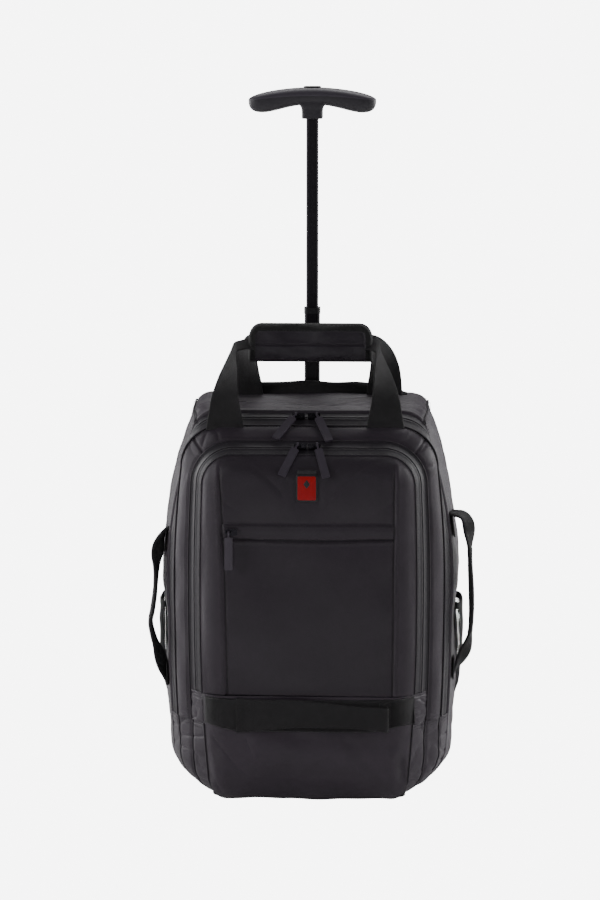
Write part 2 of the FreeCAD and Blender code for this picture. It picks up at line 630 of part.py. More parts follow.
def grip_split():
    """Everything above the grip's split line, which follows its arch."""
    ends = GRIP_HALF_SPAN + 10
    drop = GRIP_DROOP * (ends / GRIP_HALF_SPAN) ** 2
    y = y_of(POLE_T + 60)
    middle_z = GRIP_MIDDLE_Z - GRIP_SPLIT_DROP
    left = FreeCAD.Vector(-ends, y, middle_z - drop)
    right = FreeCAD.Vector(ends, y, middle_z - drop)
    crown = arc(left, FreeCAD.Vector(0, y, middle_z), right)
    lift = FreeCAD.Vector(0, 0, 80)
    sides = [line(right, right + lift), line(right + lift, left + lift), line(left + lift, left)]
    wire = Part.Wire([crown] + sides)
    return Part.Face(wire).extrude(FreeCAD.Vector(0, 120, 0))


def grip_parts():
    """T-grip, its release button, the push rod and the return spring."""
    bar = grip_bar()
    upper = grip_split()
    stem = rounded_bar(STEM_SIZE[0], STEM_SIZE[1], 6.0, POLE_T, STEM_BOTTOM, GRIP_MIDDLE_Z - 2)
    socket = rounded_bar(*INNER_TUBE[:3], POLE_T, STEM_BOTTOM - 1, STEM_BOTTOM + STEM_HEIGHT - 4)
    top = GRIP_MIDDLE_Z + GRIP_HALF_HEIGHT
    button_bottom = GRIP_MIDDLE_Z + 3.5
    well = stadium(
        BUTTON_SIZE[0] + 2 * BUTTON_GAP, BUTTON_SIZE[1] + 2 * BUTTON_GAP,
        button_bottom - BUTTON_TRAVEL - 0.6, top + 5,
    )
    spring_floor = STEM_BOTTOM + STEM_HEIGHT + 1.5
    spring_bore = cylinder_z(5.4, 0, POLE_T, spring_floor, top)
    rod_bore = cylinder_z(ROD_RADIUS + 0.3, 0, POLE_T, STEM_BOTTOM, top)
    base = bar.cut(upper).fuse(stem).removeSplitter()
    base = base.cut(socket).cut(well).cut(spring_bore).cut(rod_bore)
    cover = bar.common(upper).cut(well).cut(spring_bore).cut(rod_bore)
    button = stadium(BUTTON_SIZE[0], BUTTON_SIZE[1], button_bottom, top + 1.0)
    button = button.makeFillet(1.2, [e for e in button.Edges if e.BoundBox.ZMin > top + 0.99])
    rod_bottom = INNER_BOTTOM + 3.5 + PIN_RADIUS + 0.8 + BUTTON_TRAVEL
    rod = cylinder_z(ROD_RADIUS, 0, POLE_T, rod_bottom, button_bottom)
    return {
        "grip_base": base,
        "grip_cover": cover,
        "release_button": button,
        "push_rod": rod,
        "button_spring": coil_spring(4.2, 0.5, spring_floor, button_bottom),
    }


def coil_spring(radius, wire_radius, z0, z1):
    """Compression spring between two heights, round the push rod."""
    turns = 5.0
    height = z1 - z0 - 2 * wire_radius - 0.2
    helix = Part.makeHelix(height / turns, height, radius)
    start = FreeCAD.Vector(radius, 0, 0)
    profile = Part.Wire([Part.makeCircle(wire_radius, start, FreeCAD.Vector(0, 1, 0))])
    coil = Part.Wire(helix.Edges).makePipeShell([profile], True, True)
    coil.translate(FreeCAD.Vector(0, y_of(POLE_T), z0 + wire_radius + 0.1))
    return coil


# ---------------------------------------------------------------- straps, handles, pockets
def rectangle(centre, across, through):
    """Closed wire of a rectangle from its centre and two half-side vectors."""
    corners = [centre + across + through, centre - across + through, centre - across - through]
    corners.append(centre + across - through)
    return Part.makePolygon(corners + corners[:1])


def carry_strap(foot_x, foot_t, run_t):
    """Webbing loop: two legs that rise from the body, lean and fold into a flat run inside the wrap."""
    half = WEBBING_WIDTH / 2
    thin = WEBBING_THICKNESS / 2
    foot_z = top_z(foot_t) + CONTACT_GAP + 0.5
    lean = run_t - foot_t
    folded_half, folded_thin = FOLDED_WEBBING[0] / 2, FOLDED_WEBBING[1] / 2
    end_x = WRAP_HALF_LENGTH
    rise = WRAP_MIDDLE - foot_z

    def at(x, share_t, share_z):
        """Point on the leg's middle line."""
        return FreeCAD.Vector(x, y_of(foot_t + lean * share_t), foot_z + rise * share_z)

    y_thin = FreeCAD.Vector(0, thin, 0)
    wires = [
        rectangle(at(foot_x, 0, 0), FreeCAD.Vector(half, 0, 0), y_thin),
        rectangle(at(foot_x, 0.1, 0.3), FreeCAD.Vector(half, 0, 0), y_thin),
        rectangle(at(foot_x - 1, 0.45, 0.6), FreeCAD.Vector(half - 2, 0, 4), y_thin),
        rectangle(at(foot_x - 7, 0.8, 0.86), FreeCAD.Vector(13, 0, 11), y_thin * 1.2),
        rectangle(
            FreeCAD.Vector(end_x, y_of(run_t), WRAP_MIDDLE),
            FreeCAD.Vector(0, 0, folded_half), FreeCAD.Vector(0, folded_thin, 0),
        ),
    ]
    leg = Part.makeLoft(wires, True, True)
    if leg.Volume < 0:
        leg.reverse()
    run = block(
        -end_x, end_x, run_t - folded_thin, run_t + folded_thin,
        WRAP_MIDDLE - folded_half, WRAP_MIDDLE + folded_half,
    )
    return Part.makeCompound([leg, mirrored(leg), run])


def wrap_half(front):
    """One half of the padded wrap, with the slot that holds the strap's run."""
    sign = 1 if front else -1
    face_t = WRAP_T + sign * BODY_GAP
    back = FreeCAD.Vector(-WRAP_HALF_LENGTH, y_of(face_t), 0)
    crown_t = WRAP_T + sign * WRAP_HALF_THICKNESS

    def p(t, z):
        """Point of the wrap's end profile."""
        return FreeCAD.Vector(back.x, y_of(t), z)

    inner = line(p(face_t, WRAP_BOTTOM), p(face_t, WRAP_TOP))
    outer = arc(p(face_t, WRAP_TOP), p(crown_t, WRAP_MIDDLE), p(face_t, WRAP_BOTTOM))
    solid = Part.Face(Part.Wire([inner, outer])).extrude(FreeCAD.Vector(2 * WRAP_HALF_LENGTH, 0, 0))
    run_t = WRAP_T + sign * RUN_OFFSET
    slot = block(
        -FAR, FAR, run_t - FOLDED_WEBBING[1] / 2, run_t + FOLDED_WEBBING[1] / 2,
        WRAP_MIDDLE - FOLDED_WEBBING[0] / 2, WRAP_MIDDLE + FOLDED_WEBBING[0] / 2,
    )
    return solid.cut(slot)


def side_handle():
    """Webbing handle on the right side, seen from the front as a flat arch."""
    x0 = CASE_HALF_WIDTH + 0.5
    x1 = x0 + SIDE_HANDLE_STANDOFF
    t0, t1 = SIDE_HANDLE_T - SIDE_HANDLE_WIDTH / 2, SIDE_HANDLE_T + SIDE_HANDLE_WIDTH / 2
    low, high = SIDE_HANDLE_BOTTOM_Z, SIDE_HANDLE_TOP_Z
    thick = SIDE_HANDLE_THICKNESS
    outer = [(x0, low), (x0 + 6, low), (x1 - 2, low + 38), (x1, low + 60)]
    outer += [(x1, high - 40), (x1 - 4, high - 16), (x0 + 4, high)]
    inner = [(x0, high), (x0, high - thick - 3), (x1 - 4 - thick, high - 24), (x1 - thick, high - 44)]
    inner += [(x1 - thick, low + 62), (x1 - 2 - thick, low + 42), (x0 + 2, low + 12), (x0, low + 12)]
    return polygon_xz(outer + inner, t0, t1)


def mesh_pocket():
    """Open-topped bottle pocket with an elastic binding, right side."""
    x0 = CASE_HALF_WIDTH + 0.4
    t0, t1 = POCKET_T
    z0, z1 = POCKET_Z
    bulge = POCKET_BULGE
    skin = MESH_THICKNESS
    outer = [(x0, z0), (x0 + 0.7 * bulge, z0 + 22), (x0 + bulge, z0 + 60), (x0 + bulge - 1, z1), (x0, z1)]
    inner = [
        (x0 - 1, z0 + 2 * skin), (x0, z0 + 2 * skin), (x0 + 0.7 * bulge - skin, z0 + 23),
        (x0 + bulge - skin, z0 + 60), (x0 + bulge - 1 - skin, z1 + 1), (x0 - 1, z1 + 1),
    ]
    sheet = polygon_xz(outer, t0, t1).cut(polygon_xz(inner, t0 + skin, t1 - skin))
    edge = x0 + bulge - 1
    binding = block(edge + CONTACT_GAP, edge + 1.4, t0, t1, z1 - 9, z1)
    return Part.makeCompound([sheet, binding])


def soft_trim():
    """Carry straps, wrap, side handles, pockets and the guard at the pole port."""
    guard_t = POLE_T + bezel_depth() / 2 + 1.0
    half = PORT_FLAP_HALF_WIDTH
    base_z = CASE_TOP + CONTACT_GAP
    guard = polygon_xz(
        [
            (-half, base_z), (half, base_z),
            (half - 6, base_z + 0.75 * PORT_FLAP_HEIGHT), (0.5 * half, base_z + PORT_FLAP_HEIGHT),
            (-0.5 * half, base_z + PORT_FLAP_HEIGHT), (6 - half, base_z + 0.75 * PORT_FLAP_HEIGHT),
        ],
        guard_t, guard_t + PORT_FLAP_THICKNESS,
    )
    handle = side_handle()
    pocket = mesh_pocket()
    return {
        "rear_carry_strap": carry_strap(STRAP_HALF_SPACING_REAR, REAR_STRAP_T, WRAP_T - RUN_OFFSET),
        "rear_wrap_pad": wrap_half(False),
        "front_carry_strap": carry_strap(STRAP_HALF_SPACING_FRONT, T_ZIP_FRONT + 1.0, WRAP_T + RUN_OFFSET),
        "front_wrap_flap": wrap_half(True),
        "side_handle_right": handle,
        "side_handle_left": mirrored(handle),
        "mesh_pocket_right": pocket,
        "mesh_pocket_left": mirrored(pocket),
        "handle_port_guard": guard,
    }


def bezel_depth():
    """Depth of the bezel's flange."""
    return bezel_flange().BoundBox.YLength


# ---------------------------------------------------------------- zip sliders and pulls
def slider(bridge_x):
    """Slider body with a bridge, on a flat tape at z = 0, travelling along X."""
    length, width, height = SLIDER_SIZE
    origin = FreeCAD.Vector(-length / 2, -width / 2, SLIDER_LIFT)
    body = Part.makeBox(length, width, height, origin)
    upright = [e for e in body.Edges if abs(e.tangentAt(e.FirstParameter).z) > 0.9]
    body = body.makeFillet(2.5, upright)
    deck = SLIDER_LIFT + height
    for x in (bridge_x - 4.6, bridge_x + 3.2):
        post = Part.makeBox(1.4, 2.4, BAR_HEIGHT + BAR_RADIUS - deck, FreeCAD.Vector(x, -1.2, deck))
        body = body.fuse(post)
    start = FreeCAD.Vector(bridge_x - 4.6, 0, BAR_HEIGHT)
    bar = Part.makeCylinder(BAR_RADIUS, 9.2, start, FreeCAD.Vector(1, 0, 0))
    return body.fuse(bar).removeSplitter()


def pull(splay_deg):
    """Pull tab hanging along -Y from an eye round the bridge bar, splayed sideways."""
    eye = Part.makeCylinder(2.6, 2.4, FreeCAD.Vector(-1.2, 0, 0), FreeCAD.Vector(1, 0, 0))
    eye = eye.cut(Part.makeCylinder(BAR_RADIUS + 0.25, 4, FreeCAD.Vector(-2, 0, 0), FreeCAD.Vector(1, 0, 0)))
    thick = PULL_THICKNESS
    neck = Part.makeBox(2.4, 6.0, thick, FreeCAD.Vector(-1.2, -8.0, -thick / 2))
    corner = FreeCAD.Vector(-PULL_WIDTH / 2, -PULL_LENGTH, -thick / 2)
    tab = Part.makeBox(PULL_WIDTH, PULL_LENGTH - 7, thick, corner)
    upright = [e for e in tab.Edges if abs(e.tangentAt(e.FirstParameter).z) > 0.9]
    tab = tab.makeFillet(1.5, upright)
    hanging = neck.fuse(tab)
    hanging.rotate(FreeCAD.Vector(0, 0, 0), FreeCAD.Vector(0, 0, 1), splay_deg)
    return eye.fuse(hanging).removeSplitter()


def slider_and_pull(x, t, z, tilt, bridge_x, splay, pitch):
    """A slider on a tape that slopes forward by tilt, and its pull at rest."""
    origin = FreeCAD.Vector(0, 0, 0)
    along = FreeCAD.Vector(1, 0, 0)
    body = slider(bridge_x)
    body.rotate(origin, along, tilt)
    body.translate(FreeCAD.Vector(x, y_of(t), z))
    tab = pull(splay)
    tab.rotate(origin, along, tilt + pitch)
    angle = math.radians(tilt)
    bar_y = y_of(t) - BAR_HEIGHT * math.sin(angle)
    bar = FreeCAD.Vector(x + bridge_x, bar_y, z + BAR_HEIGHT * math.cos(angle))
    tab.translate(bar)
    return body, tab


def zips():
    """The five sliders and their pulls."""
    main_tilt = slope_deg(MAIN_DEPTH)
    front_tilt = slope_deg(T_FRONT_ZIP)
    main_z = top_z(MAIN_DEPTH)
    front_z = top_z(T_FRONT_ZIP)
    places = {
        "main_zip": [
            (MAIN_SLIDERS_X[0], MAIN_DEPTH, main_z, main_tilt, -BRIDGE_OFFSET, -31, 5),
            (MAIN_SLIDERS_X[1], MAIN_DEPTH, main_z, main_tilt, BRIDGE_OFFSET, 21, 5),
        ],
        "front_zip": [
            (FRONT_SLIDERS_X[0], T_FRONT_ZIP, front_z, front_tilt, -BRIDGE_OFFSET, -24, 20),
            (FRONT_SLIDERS_X[1], T_FRONT_ZIP, front_z, front_tilt, BRIDGE_OFFSET, 15, 20),
        ],
    }
    parts = {}
    for zip_name, pair in places.items():
        for side, place in zip(("left", "right"), pair):
            body, tab = slider_and_pull(*place)
            parts["%s_slider_%s" % (zip_name, side)] = body
            parts["%s_pull_%s" % (zip_name, side)] = tab
    body, tab = slider_and_pull(POCKET_SLIDER_X, T_FRONT, POCKET_ZIP_Z, 90, -BRIDGE_OFFSET, 0, 0)
    parts["pocket_zip_slider"] = body
    parts["pocket_zip_pull"] = tab
    return parts


def build():
    """Every node of the case, by name."""
    nodes = {}
    for group in (body_panels, lid_panels, flap_panels, base_parts, pole_parts, grip_parts, soft_trim, zips):
        nodes.update(group())
    return nodes


os.makedirs("parts", exist_ok=True)
for node_name, node_shape in build().items():
    node_shape.exportStep(os.path.join("parts", node_name + ".step"))
    volume = node_shape.Volume / 1000
    solids = len(node_shape.Solids)
    print("%-22s solids %d valid %s %8.1f cm3" % (node_name, solids, node_shape.isValid(), volume))
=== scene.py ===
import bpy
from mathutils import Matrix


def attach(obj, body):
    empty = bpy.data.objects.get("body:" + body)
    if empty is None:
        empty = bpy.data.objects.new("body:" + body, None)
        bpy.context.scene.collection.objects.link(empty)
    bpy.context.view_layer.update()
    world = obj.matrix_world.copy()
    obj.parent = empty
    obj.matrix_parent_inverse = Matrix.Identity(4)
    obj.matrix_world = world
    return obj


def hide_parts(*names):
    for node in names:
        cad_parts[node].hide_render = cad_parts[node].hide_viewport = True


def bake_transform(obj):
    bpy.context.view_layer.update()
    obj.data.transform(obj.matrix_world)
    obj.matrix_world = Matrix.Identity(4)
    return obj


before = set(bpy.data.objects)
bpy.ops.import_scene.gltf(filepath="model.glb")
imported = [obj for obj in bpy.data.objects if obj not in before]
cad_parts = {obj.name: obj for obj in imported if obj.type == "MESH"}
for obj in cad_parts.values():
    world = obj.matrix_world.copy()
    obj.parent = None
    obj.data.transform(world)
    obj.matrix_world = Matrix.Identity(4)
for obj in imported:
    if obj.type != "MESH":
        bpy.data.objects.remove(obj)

import logging
import math
import random
from dataclasses import dataclass, field
from enum import Enum
from typing import Callable, Iterable, Optional, Sequence

import bmesh
import bpy
import numpy as np
from mathutils import Vector

logging.basicConfig(level=logging.INFO, format="%(message)s")
log = logging.getLogger("rolling_case")

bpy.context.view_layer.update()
MM = 0.001
SEED = 7041
Grid = np.ndarray


# ---------------------------------------------------------------- small helpers
def linear(hex_colour: str) -> tuple[float, float, float, float]:
    """Turns an sRGB hex colour into linear RGBA.

    Args:
        hex_colour: six hex digits.

    Returns:
        Linear red, green, blue and an alpha of one.
    """
    parts = [int(hex_colour[i:i + 2], 16) / 255 for i in (0, 2, 4)]
    red, green, blue = [p / 12.92 if p <= 0.04045 else ((p + 0.055) / 1.055) ** 2.4 for p in parts]
    return (red, green, blue, 1.0)


def add_node(tree: bpy.types.NodeTree, kind: str, settings: Optional[dict] = None,
             inputs: Optional[dict] = None) -> bpy.types.Node:
    """Adds a node with its settings and its input values or links.

    Args:
        tree: the node tree it goes in.
        kind: the node's type name.
        settings: attribute values.
        inputs: socket name or index to a value or to an output socket.

    Returns:
        The new node.
    """
    node = tree.nodes.new(kind)
    for key, value in (settings or {}).items():
        setattr(node, key, value)
    for key, value in (inputs or {}).items():
        if isinstance(value, bpy.types.NodeSocket):
            tree.links.new(value, node.inputs[key])
        else:
            node.inputs[key].default_value = value
    return node


def smoothstep(value: Grid, low: float, high: float) -> Grid:
    """Smooth step from 0 at low to 1 at high."""
    share = np.clip((value - low) / (high - low), 0.0, 1.0)
    return share * share * (3 - 2 * share)


def bump(value: Grid, centre: Grid | float, width: float) -> Grid:
    """Bell curve of height one round a centre."""
    return np.exp(-((value - centre) / width) ** 2)


def crumple(points: Grid, wave: Sequence[float], seed: int, count: int = 9) -> Grid:
    """Smooth random field, about -1 to 1, for soft unevenness in cloth.

    Args:
        points: positions in millimetres, last axis of three.
        wave: wavelength along X, Y and Z in millimetres.
        seed: fixed seed of the field.
        count: how many waves are summed.

    Returns:
        One value per point.
    """
    rng = np.random.default_rng(SEED + seed)
    directions = rng.normal(size=(count, 3))
    directions /= np.linalg.norm(directions, axis=1)[:, None]
    scaled = points / np.asarray(wave)
    phases = scaled @ directions.T * 2 * math.pi + rng.uniform(0, 2 * math.pi, count)
    return np.sin(phases).sum(axis=-1) / math.sqrt(count)


def folds(points: Grid, wave: Sequence[float], seed: int) -> Grid:
    """Sharper creases, 0 to 1, for cloth that is pulled or gathered."""
    field_value = crumple(points, wave, seed)
    return np.clip(1 - np.abs(field_value), 0, 1) ** 2.5


def curve_through(points: Sequence[Sequence[float]], count: int) -> Grid:
    """Smooth open curve through points, evenly spaced along its length.

    Args:
        points: control points of any dimension.
        count: how many points to return.

    Returns:
        Array of count points.
    """
    control = np.asarray(points, dtype=float)
    padded = np.vstack([2 * control[0] - control[1], control, 2 * control[-1] - control[-2]])
    dense = []
    for i in range(1, len(padded) - 2):
        s = np.linspace(0, 1, 24, endpoint=False)[:, None]
        a, b, c, d = padded[i - 1:i + 3]
        dense.append(0.5 * (2 * b + (c - a) * s + (2 * a - 5 * b + 4 * c - d) * s ** 2
                            + (3 * b - a - 3 * c + d) * s ** 3))
    dense.append(control[-1:])
    return evenly(np.vstack(dense), count)


def evenly(line: Grid, count: int, metric: int = 3) -> Grid:
    """Resamples a polyline at equal steps of the length of its first coordinates."""
    steps = np.linalg.norm(np.diff(line[:, :metric], axis=0), axis=1)
    along = np.concatenate([[0], np.cumsum(steps)])
    wanted = np.linspace(0, along[-1], count)
    return np.stack([np.interp(wanted, along, line[:, k]) for k in range(line.shape[1])], axis=1)


def grid_faces(rows: int, columns: int, closed: bool = False, flip: bool = False) -> list[tuple[int, ...]]:
    """Quads of a grid of points.

    Args:
        rows: points down the grid.
        columns: points across it.
        closed: the last column joins the first.
        flip: turn the faces over.

    Returns:
        Vertex index tuples.
    """
    faces = []
    for i in range(rows - 1):
        for j in range(columns if closed else columns - 1):
            k = (j + 1) % columns
            face = (i * columns + j, i * columns + k, (i + 1) * columns + k, (i + 1) * columns + j)
            faces.append(face[::-1] if flip else face)
    return faces


def grid_normals(points: Grid, closed: bool = False) -> Grid:
    """Unit normals of a grid of points, row by row."""
    down = np.gradient(points, axis=0)
    if closed:
        across = (np.roll(points, -1, axis=1) - np.roll(points, 1, axis=1)) / 2
    else:
        across = np.gradient(points, axis=1)
    normals = np.cross(across, down)
    return normals / np.maximum(np.linalg.norm(normals, axis=-1, keepdims=True), 1e-9)


def new_piece(name: str, points: Grid, faces: Sequence[Sequence[int]],
              materials: Sequence[bpy.types.Material],
              uv: Optional[Grid] = None, shade: Optional[Grid] = None) -> bpy.types.Object:
    """Makes a mesh object at the origin from points in millimetres.

    Args:
        name: piece name.
        points: vertex positions in millimetres.
        faces: vertex indices.
        materials: material slots, the first on every face.
        uv: per-vertex UV in metres.
        shade: per-vertex painted shade stored as the "shade" attribute; a positive value darkens the cloth's
            colour and a negative value paints it lighter.

    Returns:
        The new object.
    """
    flat = np.asarray(points, dtype=float).reshape(-1, 3) * MM
    mesh = bpy.data.meshes.new(name)
    mesh.from_pydata(flat.tolist(), [], [tuple(f) for f in faces])
    mesh.update()
    for material in materials:
        mesh.materials.append(material)
    mesh.polygons.foreach_set("use_smooth", [True] * len(mesh.polygons))
    if uv is not None:
        layer = mesh.uv_layers.new(name="cloth")
        corners = np.empty(len(mesh.loops), dtype=np.int32)
        mesh.loops.foreach_get("vertex_index", corners)
        layer.data.foreach_set("uv", np.asarray(uv, dtype=np.float32).reshape(-1, 2)[corners].ravel())
    if shade is not None:
        attribute = mesh.attributes.new("shade", "FLOAT", "POINT")
        attribute.data.foreach_set("value", np.asarray(shade, dtype=np.float32).ravel())
    piece = bpy.data.objects.new(name, mesh)
    bpy.context.scene.collection.objects.link(piece)
    return piece


def thicken(piece: bpy.types.Object, thickness: float, inside: int = 0, offset: float = -1.0) -> None:
    """Gives a sheet its wall with a Solidify modifier, in millimetres, inwards."""
    solid = piece.modifiers.new("wall", "SOLIDIFY")
    solid.thickness = thickness * MM
    solid.offset = offset
    solid.use_even_offset = False
    solid.material_offset = inside


def set_down(piece: bpy.types.Object, body: str, nodes: Sequence[str] = ()) -> bpy.types.Object:
    """Records a finished piece: the body it rides on, what it replaces and how full it is.

    Args:
        piece: the object.
        body: CAD body.
        nodes: CAD nodes that it stands for.

    Returns:
        The same piece.
    """
    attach(piece, body)
    if nodes:
        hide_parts(*nodes)
    log.info("piece %s on %s: %d faces", piece.name, body, len(piece.data.polygons))
    return piece


def face_outwards(piece: bpy.types.Object, merge: float = 0.0) -> None:
    """Turns a closed piece's faces outwards, after joining points closer than a distance in metres."""
    mesh = bmesh.new()
    mesh.from_mesh(piece.data)
    if merge:
        bmesh.ops.remove_doubles(mesh, verts=mesh.verts, dist=merge)
    bmesh.ops.recalc_face_normals(mesh, faces=mesh.faces)
    mesh.to_mesh(piece.data)
    mesh.free()


def drop_points(piece: bpy.types.Object, picked: Callable[[bmesh.types.BMVert], bool]) -> None:
    """Deletes the points that a test picks, with their faces."""
    mesh = bmesh.new()
    mesh.from_mesh(piece.data)
    bmesh.ops.delete(mesh, geom=[v for v in mesh.verts if picked(v)], context="VERTS")
    mesh.to_mesh(piece.data)
    mesh.free()


def joined(name: str, pieces: Sequence[bpy.types.Object]) -> bpy.types.Object:
    """Joins several mesh objects into one."""
    bpy.ops.object.select_all(action="DESELECT")
    for piece in pieces:
        piece.select_set(True)
    bpy.context.view_layer.objects.active = pieces[0]
    bpy.ops.object.join()
    pieces[0].name = name
    pieces[0].data.name = name
    return pieces[0]


# ---------------------------------------------------------------- finishes
class Weave(Enum):
    """How a cloth is woven or faced."""

    COATED = "coated plain weave"
    RIBBED = "ribbed webbing"
    TAPE = "herringbone tape"
    LINING = "lining"


@dataclass(frozen=True)
class Cloth:
    """Woven or coated cloth.

    Attributes:
        name: material name.
        colour: main sRGB hex.
        dark: sRGB hex at the dark end of the colour ramp, reached through random tone and through painted
            shade from the shade attribute.
        roughness: surface roughness.
        weave: kind of weave.
        thread_mm: thread or rib spacing.
        depth_mm: height of the threads.
        sheen: fuzz at grazing angles.
    """

    name: str
    colour: str
    dark: str
    roughness: float
    weave: Weave
    thread_mm: float
    depth_mm: float
    sheen: float

    def make(self) -> bpy.types.Material:
        """Builds the material.

        Returns:
            The material, with its weave as bump, its unevenness as colour and roughness, and painted shade
            and light from the shade attribute.
        """
        material = bpy.data.materials.new(self.name)
        material.use_nodes = True
        tree = material.node_tree
        shader = tree.nodes["Principled BSDF"]
        shader.inputs["Sheen Weight"].default_value = self.sheen
        shader.inputs["Sheen Roughness"].default_value = 0.45
        shader.inputs["IOR"].default_value = 1.5
        shader.inputs["Specular IOR Level"].default_value = 0.4
        place = add_node(tree, "ShaderNodeTexCoord").outputs["Object"]
        spread = add_node(tree, "ShaderNodeTexNoise", None,
                          {"Vector": place, "Scale": 9.0, "Detail": 2.0, "Roughness": 0.5})
        speck = add_node(tree, "ShaderNodeTexNoise", None,
                         {"Vector": place, "Scale": 700.0, "Detail": 2.0, "Roughness": 0.6})
        slow = add_node(tree, "ShaderNodeMath", {"operation": "MULTIPLY_ADD"},
                        {0: spread.outputs["Fac"], 1: 0.35, 2: 0.32})
        mixed = add_node(tree, "ShaderNodeMath", {"operation": "MULTIPLY_ADD"},
                         {0: speck.outputs["Fac"], 1: 0.3, 2: slow.outputs[0]})
        # painted shade and painted light: the shade attribute is taken off the ramp position, darker where it
        # is positive and lighter where it is negative
        shade = add_node(tree, "ShaderNodeAttribute", {"attribute_name": "shade"})
        shaded = add_node(tree, "ShaderNodeMath", {"operation": "SUBTRACT"},
                          {0: mixed.outputs[0], 1: shade.outputs["Fac"]})
        ramp = add_node(tree, "ShaderNodeValToRGB", None, {"Fac": shaded.outputs[0]})
        ramp.color_ramp.elements[0].position = 0.25
        ramp.color_ramp.elements[0].color = linear(self.dark)
        ramp.color_ramp.elements[1].position = 0.85
        ramp.color_ramp.elements[1].color = linear(self.colour)
        tree.links.new(ramp.outputs["Color"], shader.inputs["Base Color"])
        rough = add_node(tree, "ShaderNodeMapRange", None,
                         {"Value": spread.outputs["Fac"], "To Min": self.roughness - 0.06,
                          "To Max": self.roughness + 0.08})
        tree.links.new(rough.outputs["Result"], shader.inputs["Roughness"])
        height = self.threads(tree, place)
        relief = add_node(tree, "ShaderNodeBump", None,
                          {"Strength": 0.8, "Distance": self.depth_mm * MM, "Height": height})
        tree.links.new(relief.outputs["Normal"], shader.inputs["Normal"])
        return material

    def threads(self, tree: bpy.types.NodeTree, place: bpy.types.NodeSocket) -> bpy.types.NodeSocket:
        """Adds the weave's height pattern.

        Args:
            tree: material node tree.
            place: object coordinates.

        Returns:
            The height socket.
        """
        if self.weave in (Weave.RIBBED, Weave.TAPE):
            place = add_node(tree, "ShaderNodeUVMap", {"uv_map": "cloth"}).outputs["UV"]
        # a wave texture has one band per 1 / (scale * 2 pi / 20) metres
        scale = 20 / (2 * math.pi * self.thread_mm * MM)
        angle = math.radians(45) if self.weave is Weave.TAPE else 0.0
        turned = add_node(tree, "ShaderNodeMapping", None, {"Vector": place, "Rotation": (0, 0, angle)})
        bands = [add_node(tree, "ShaderNodeTexWave", {"bands_direction": way},
                          {"Vector": turned.outputs["Vector"], "Scale": scale,
                           "Distortion": 0.6}).outputs["Fac"]
                 for way in ("X", "Y" if self.weave in (Weave.RIBBED, Weave.TAPE) else "Z")]
        gain = {Weave.RIBBED: 0.35, Weave.TAPE: 0.5}.get(self.weave, 1.0)
        lower = add_node(tree, "ShaderNodeMath", {"operation": "MULTIPLY"}, {0: bands[0], 1: gain})
        return add_node(tree, "ShaderNodeMath", {"operation": "ADD"},
                        {0: lower.outputs[0], 1: bands[1]}).outputs[0]


@dataclass(frozen=True)
class Hard:
    """Moulded, drawn or cast surface.

    Attributes:
        name: material name.
        colour: sRGB hex.
        roughness: surface roughness.
        metallic: one for bare metal.
        ior: index of refraction.
        grain_mm: size of the grain.
        grain_depth_mm: depth of the grain.
        stretch: how far the grain is drawn out along Z.
        coat: clear coat weight.
    """

    name: str
    colour: str
    roughness: float
    metallic: float = 0.0
    ior: float = 1.5
    grain_mm: float = 0.6
    grain_depth_mm: float = 0.02
    stretch: float = 1.0
    coat: float = 0.0

    def make(self) -> bpy.types.Material:
        """Builds the material.

        Returns:
            The material, with fine grain in bump, tone and roughness.
        """
        material = bpy.data.materials.new(self.name)
        material.use_nodes = True
        tree = material.node_tree
        shader = tree.nodes["Principled BSDF"]
        shader.inputs["Metallic"].default_value = self.metallic
        shader.inputs["IOR"].default_value = self.ior
        shader.inputs["Coat Weight"].default_value = self.coat
        shader.inputs["Coat Roughness"].default_value = 0.08
        place = add_node(tree, "ShaderNodeTexCoord").outputs["Object"]
        drawn = add_node(tree, "ShaderNodeMapping", None,
                         {"Vector": place, "Scale": (1, 1, 1 / self.stretch)})
        grain = add_node(tree, "ShaderNodeTexNoise", None,
                         {"Vector": drawn.outputs["Vector"], "Scale": 1 / (self.grain_mm * MM),
                          "Detail": 3.0})
        broad = add_node(tree, "ShaderNodeTexNoise", None, {"Vector": place, "Scale": 30.0, "Detail": 2.0})
        tone = add_node(tree, "ShaderNodeMapRange", None,
                        {"Value": broad.outputs["Fac"], "To Min": 0.82, "To Max": 1.12})
        base = add_node(tree, "ShaderNodeMix", {"data_type": "RGBA", "blend_type": "MULTIPLY"},
                        {"Factor": 1.0, "A": linear(self.colour), "B": tone.outputs["Result"]})
        tree.links.new(base.outputs["Result"], shader.inputs["Base Color"])
        rough = add_node(tree, "ShaderNodeMapRange", None,
                         {"Value": grain.outputs["Fac"], "To Min": self.roughness - 0.05,
                          "To Max": self.roughness + 0.07})
        tree.links.new(rough.outputs["Result"], shader.inputs["Roughness"])
        relief = add_node(tree, "ShaderNodeBump", None,
                          {"Strength": 0.6, "Distance": self.grain_depth_mm * MM,
                           "Height": grain.outputs["Fac"]})
        tree.links.new(relief.outputs["Normal"], shader.inputs["Normal"])
        return material


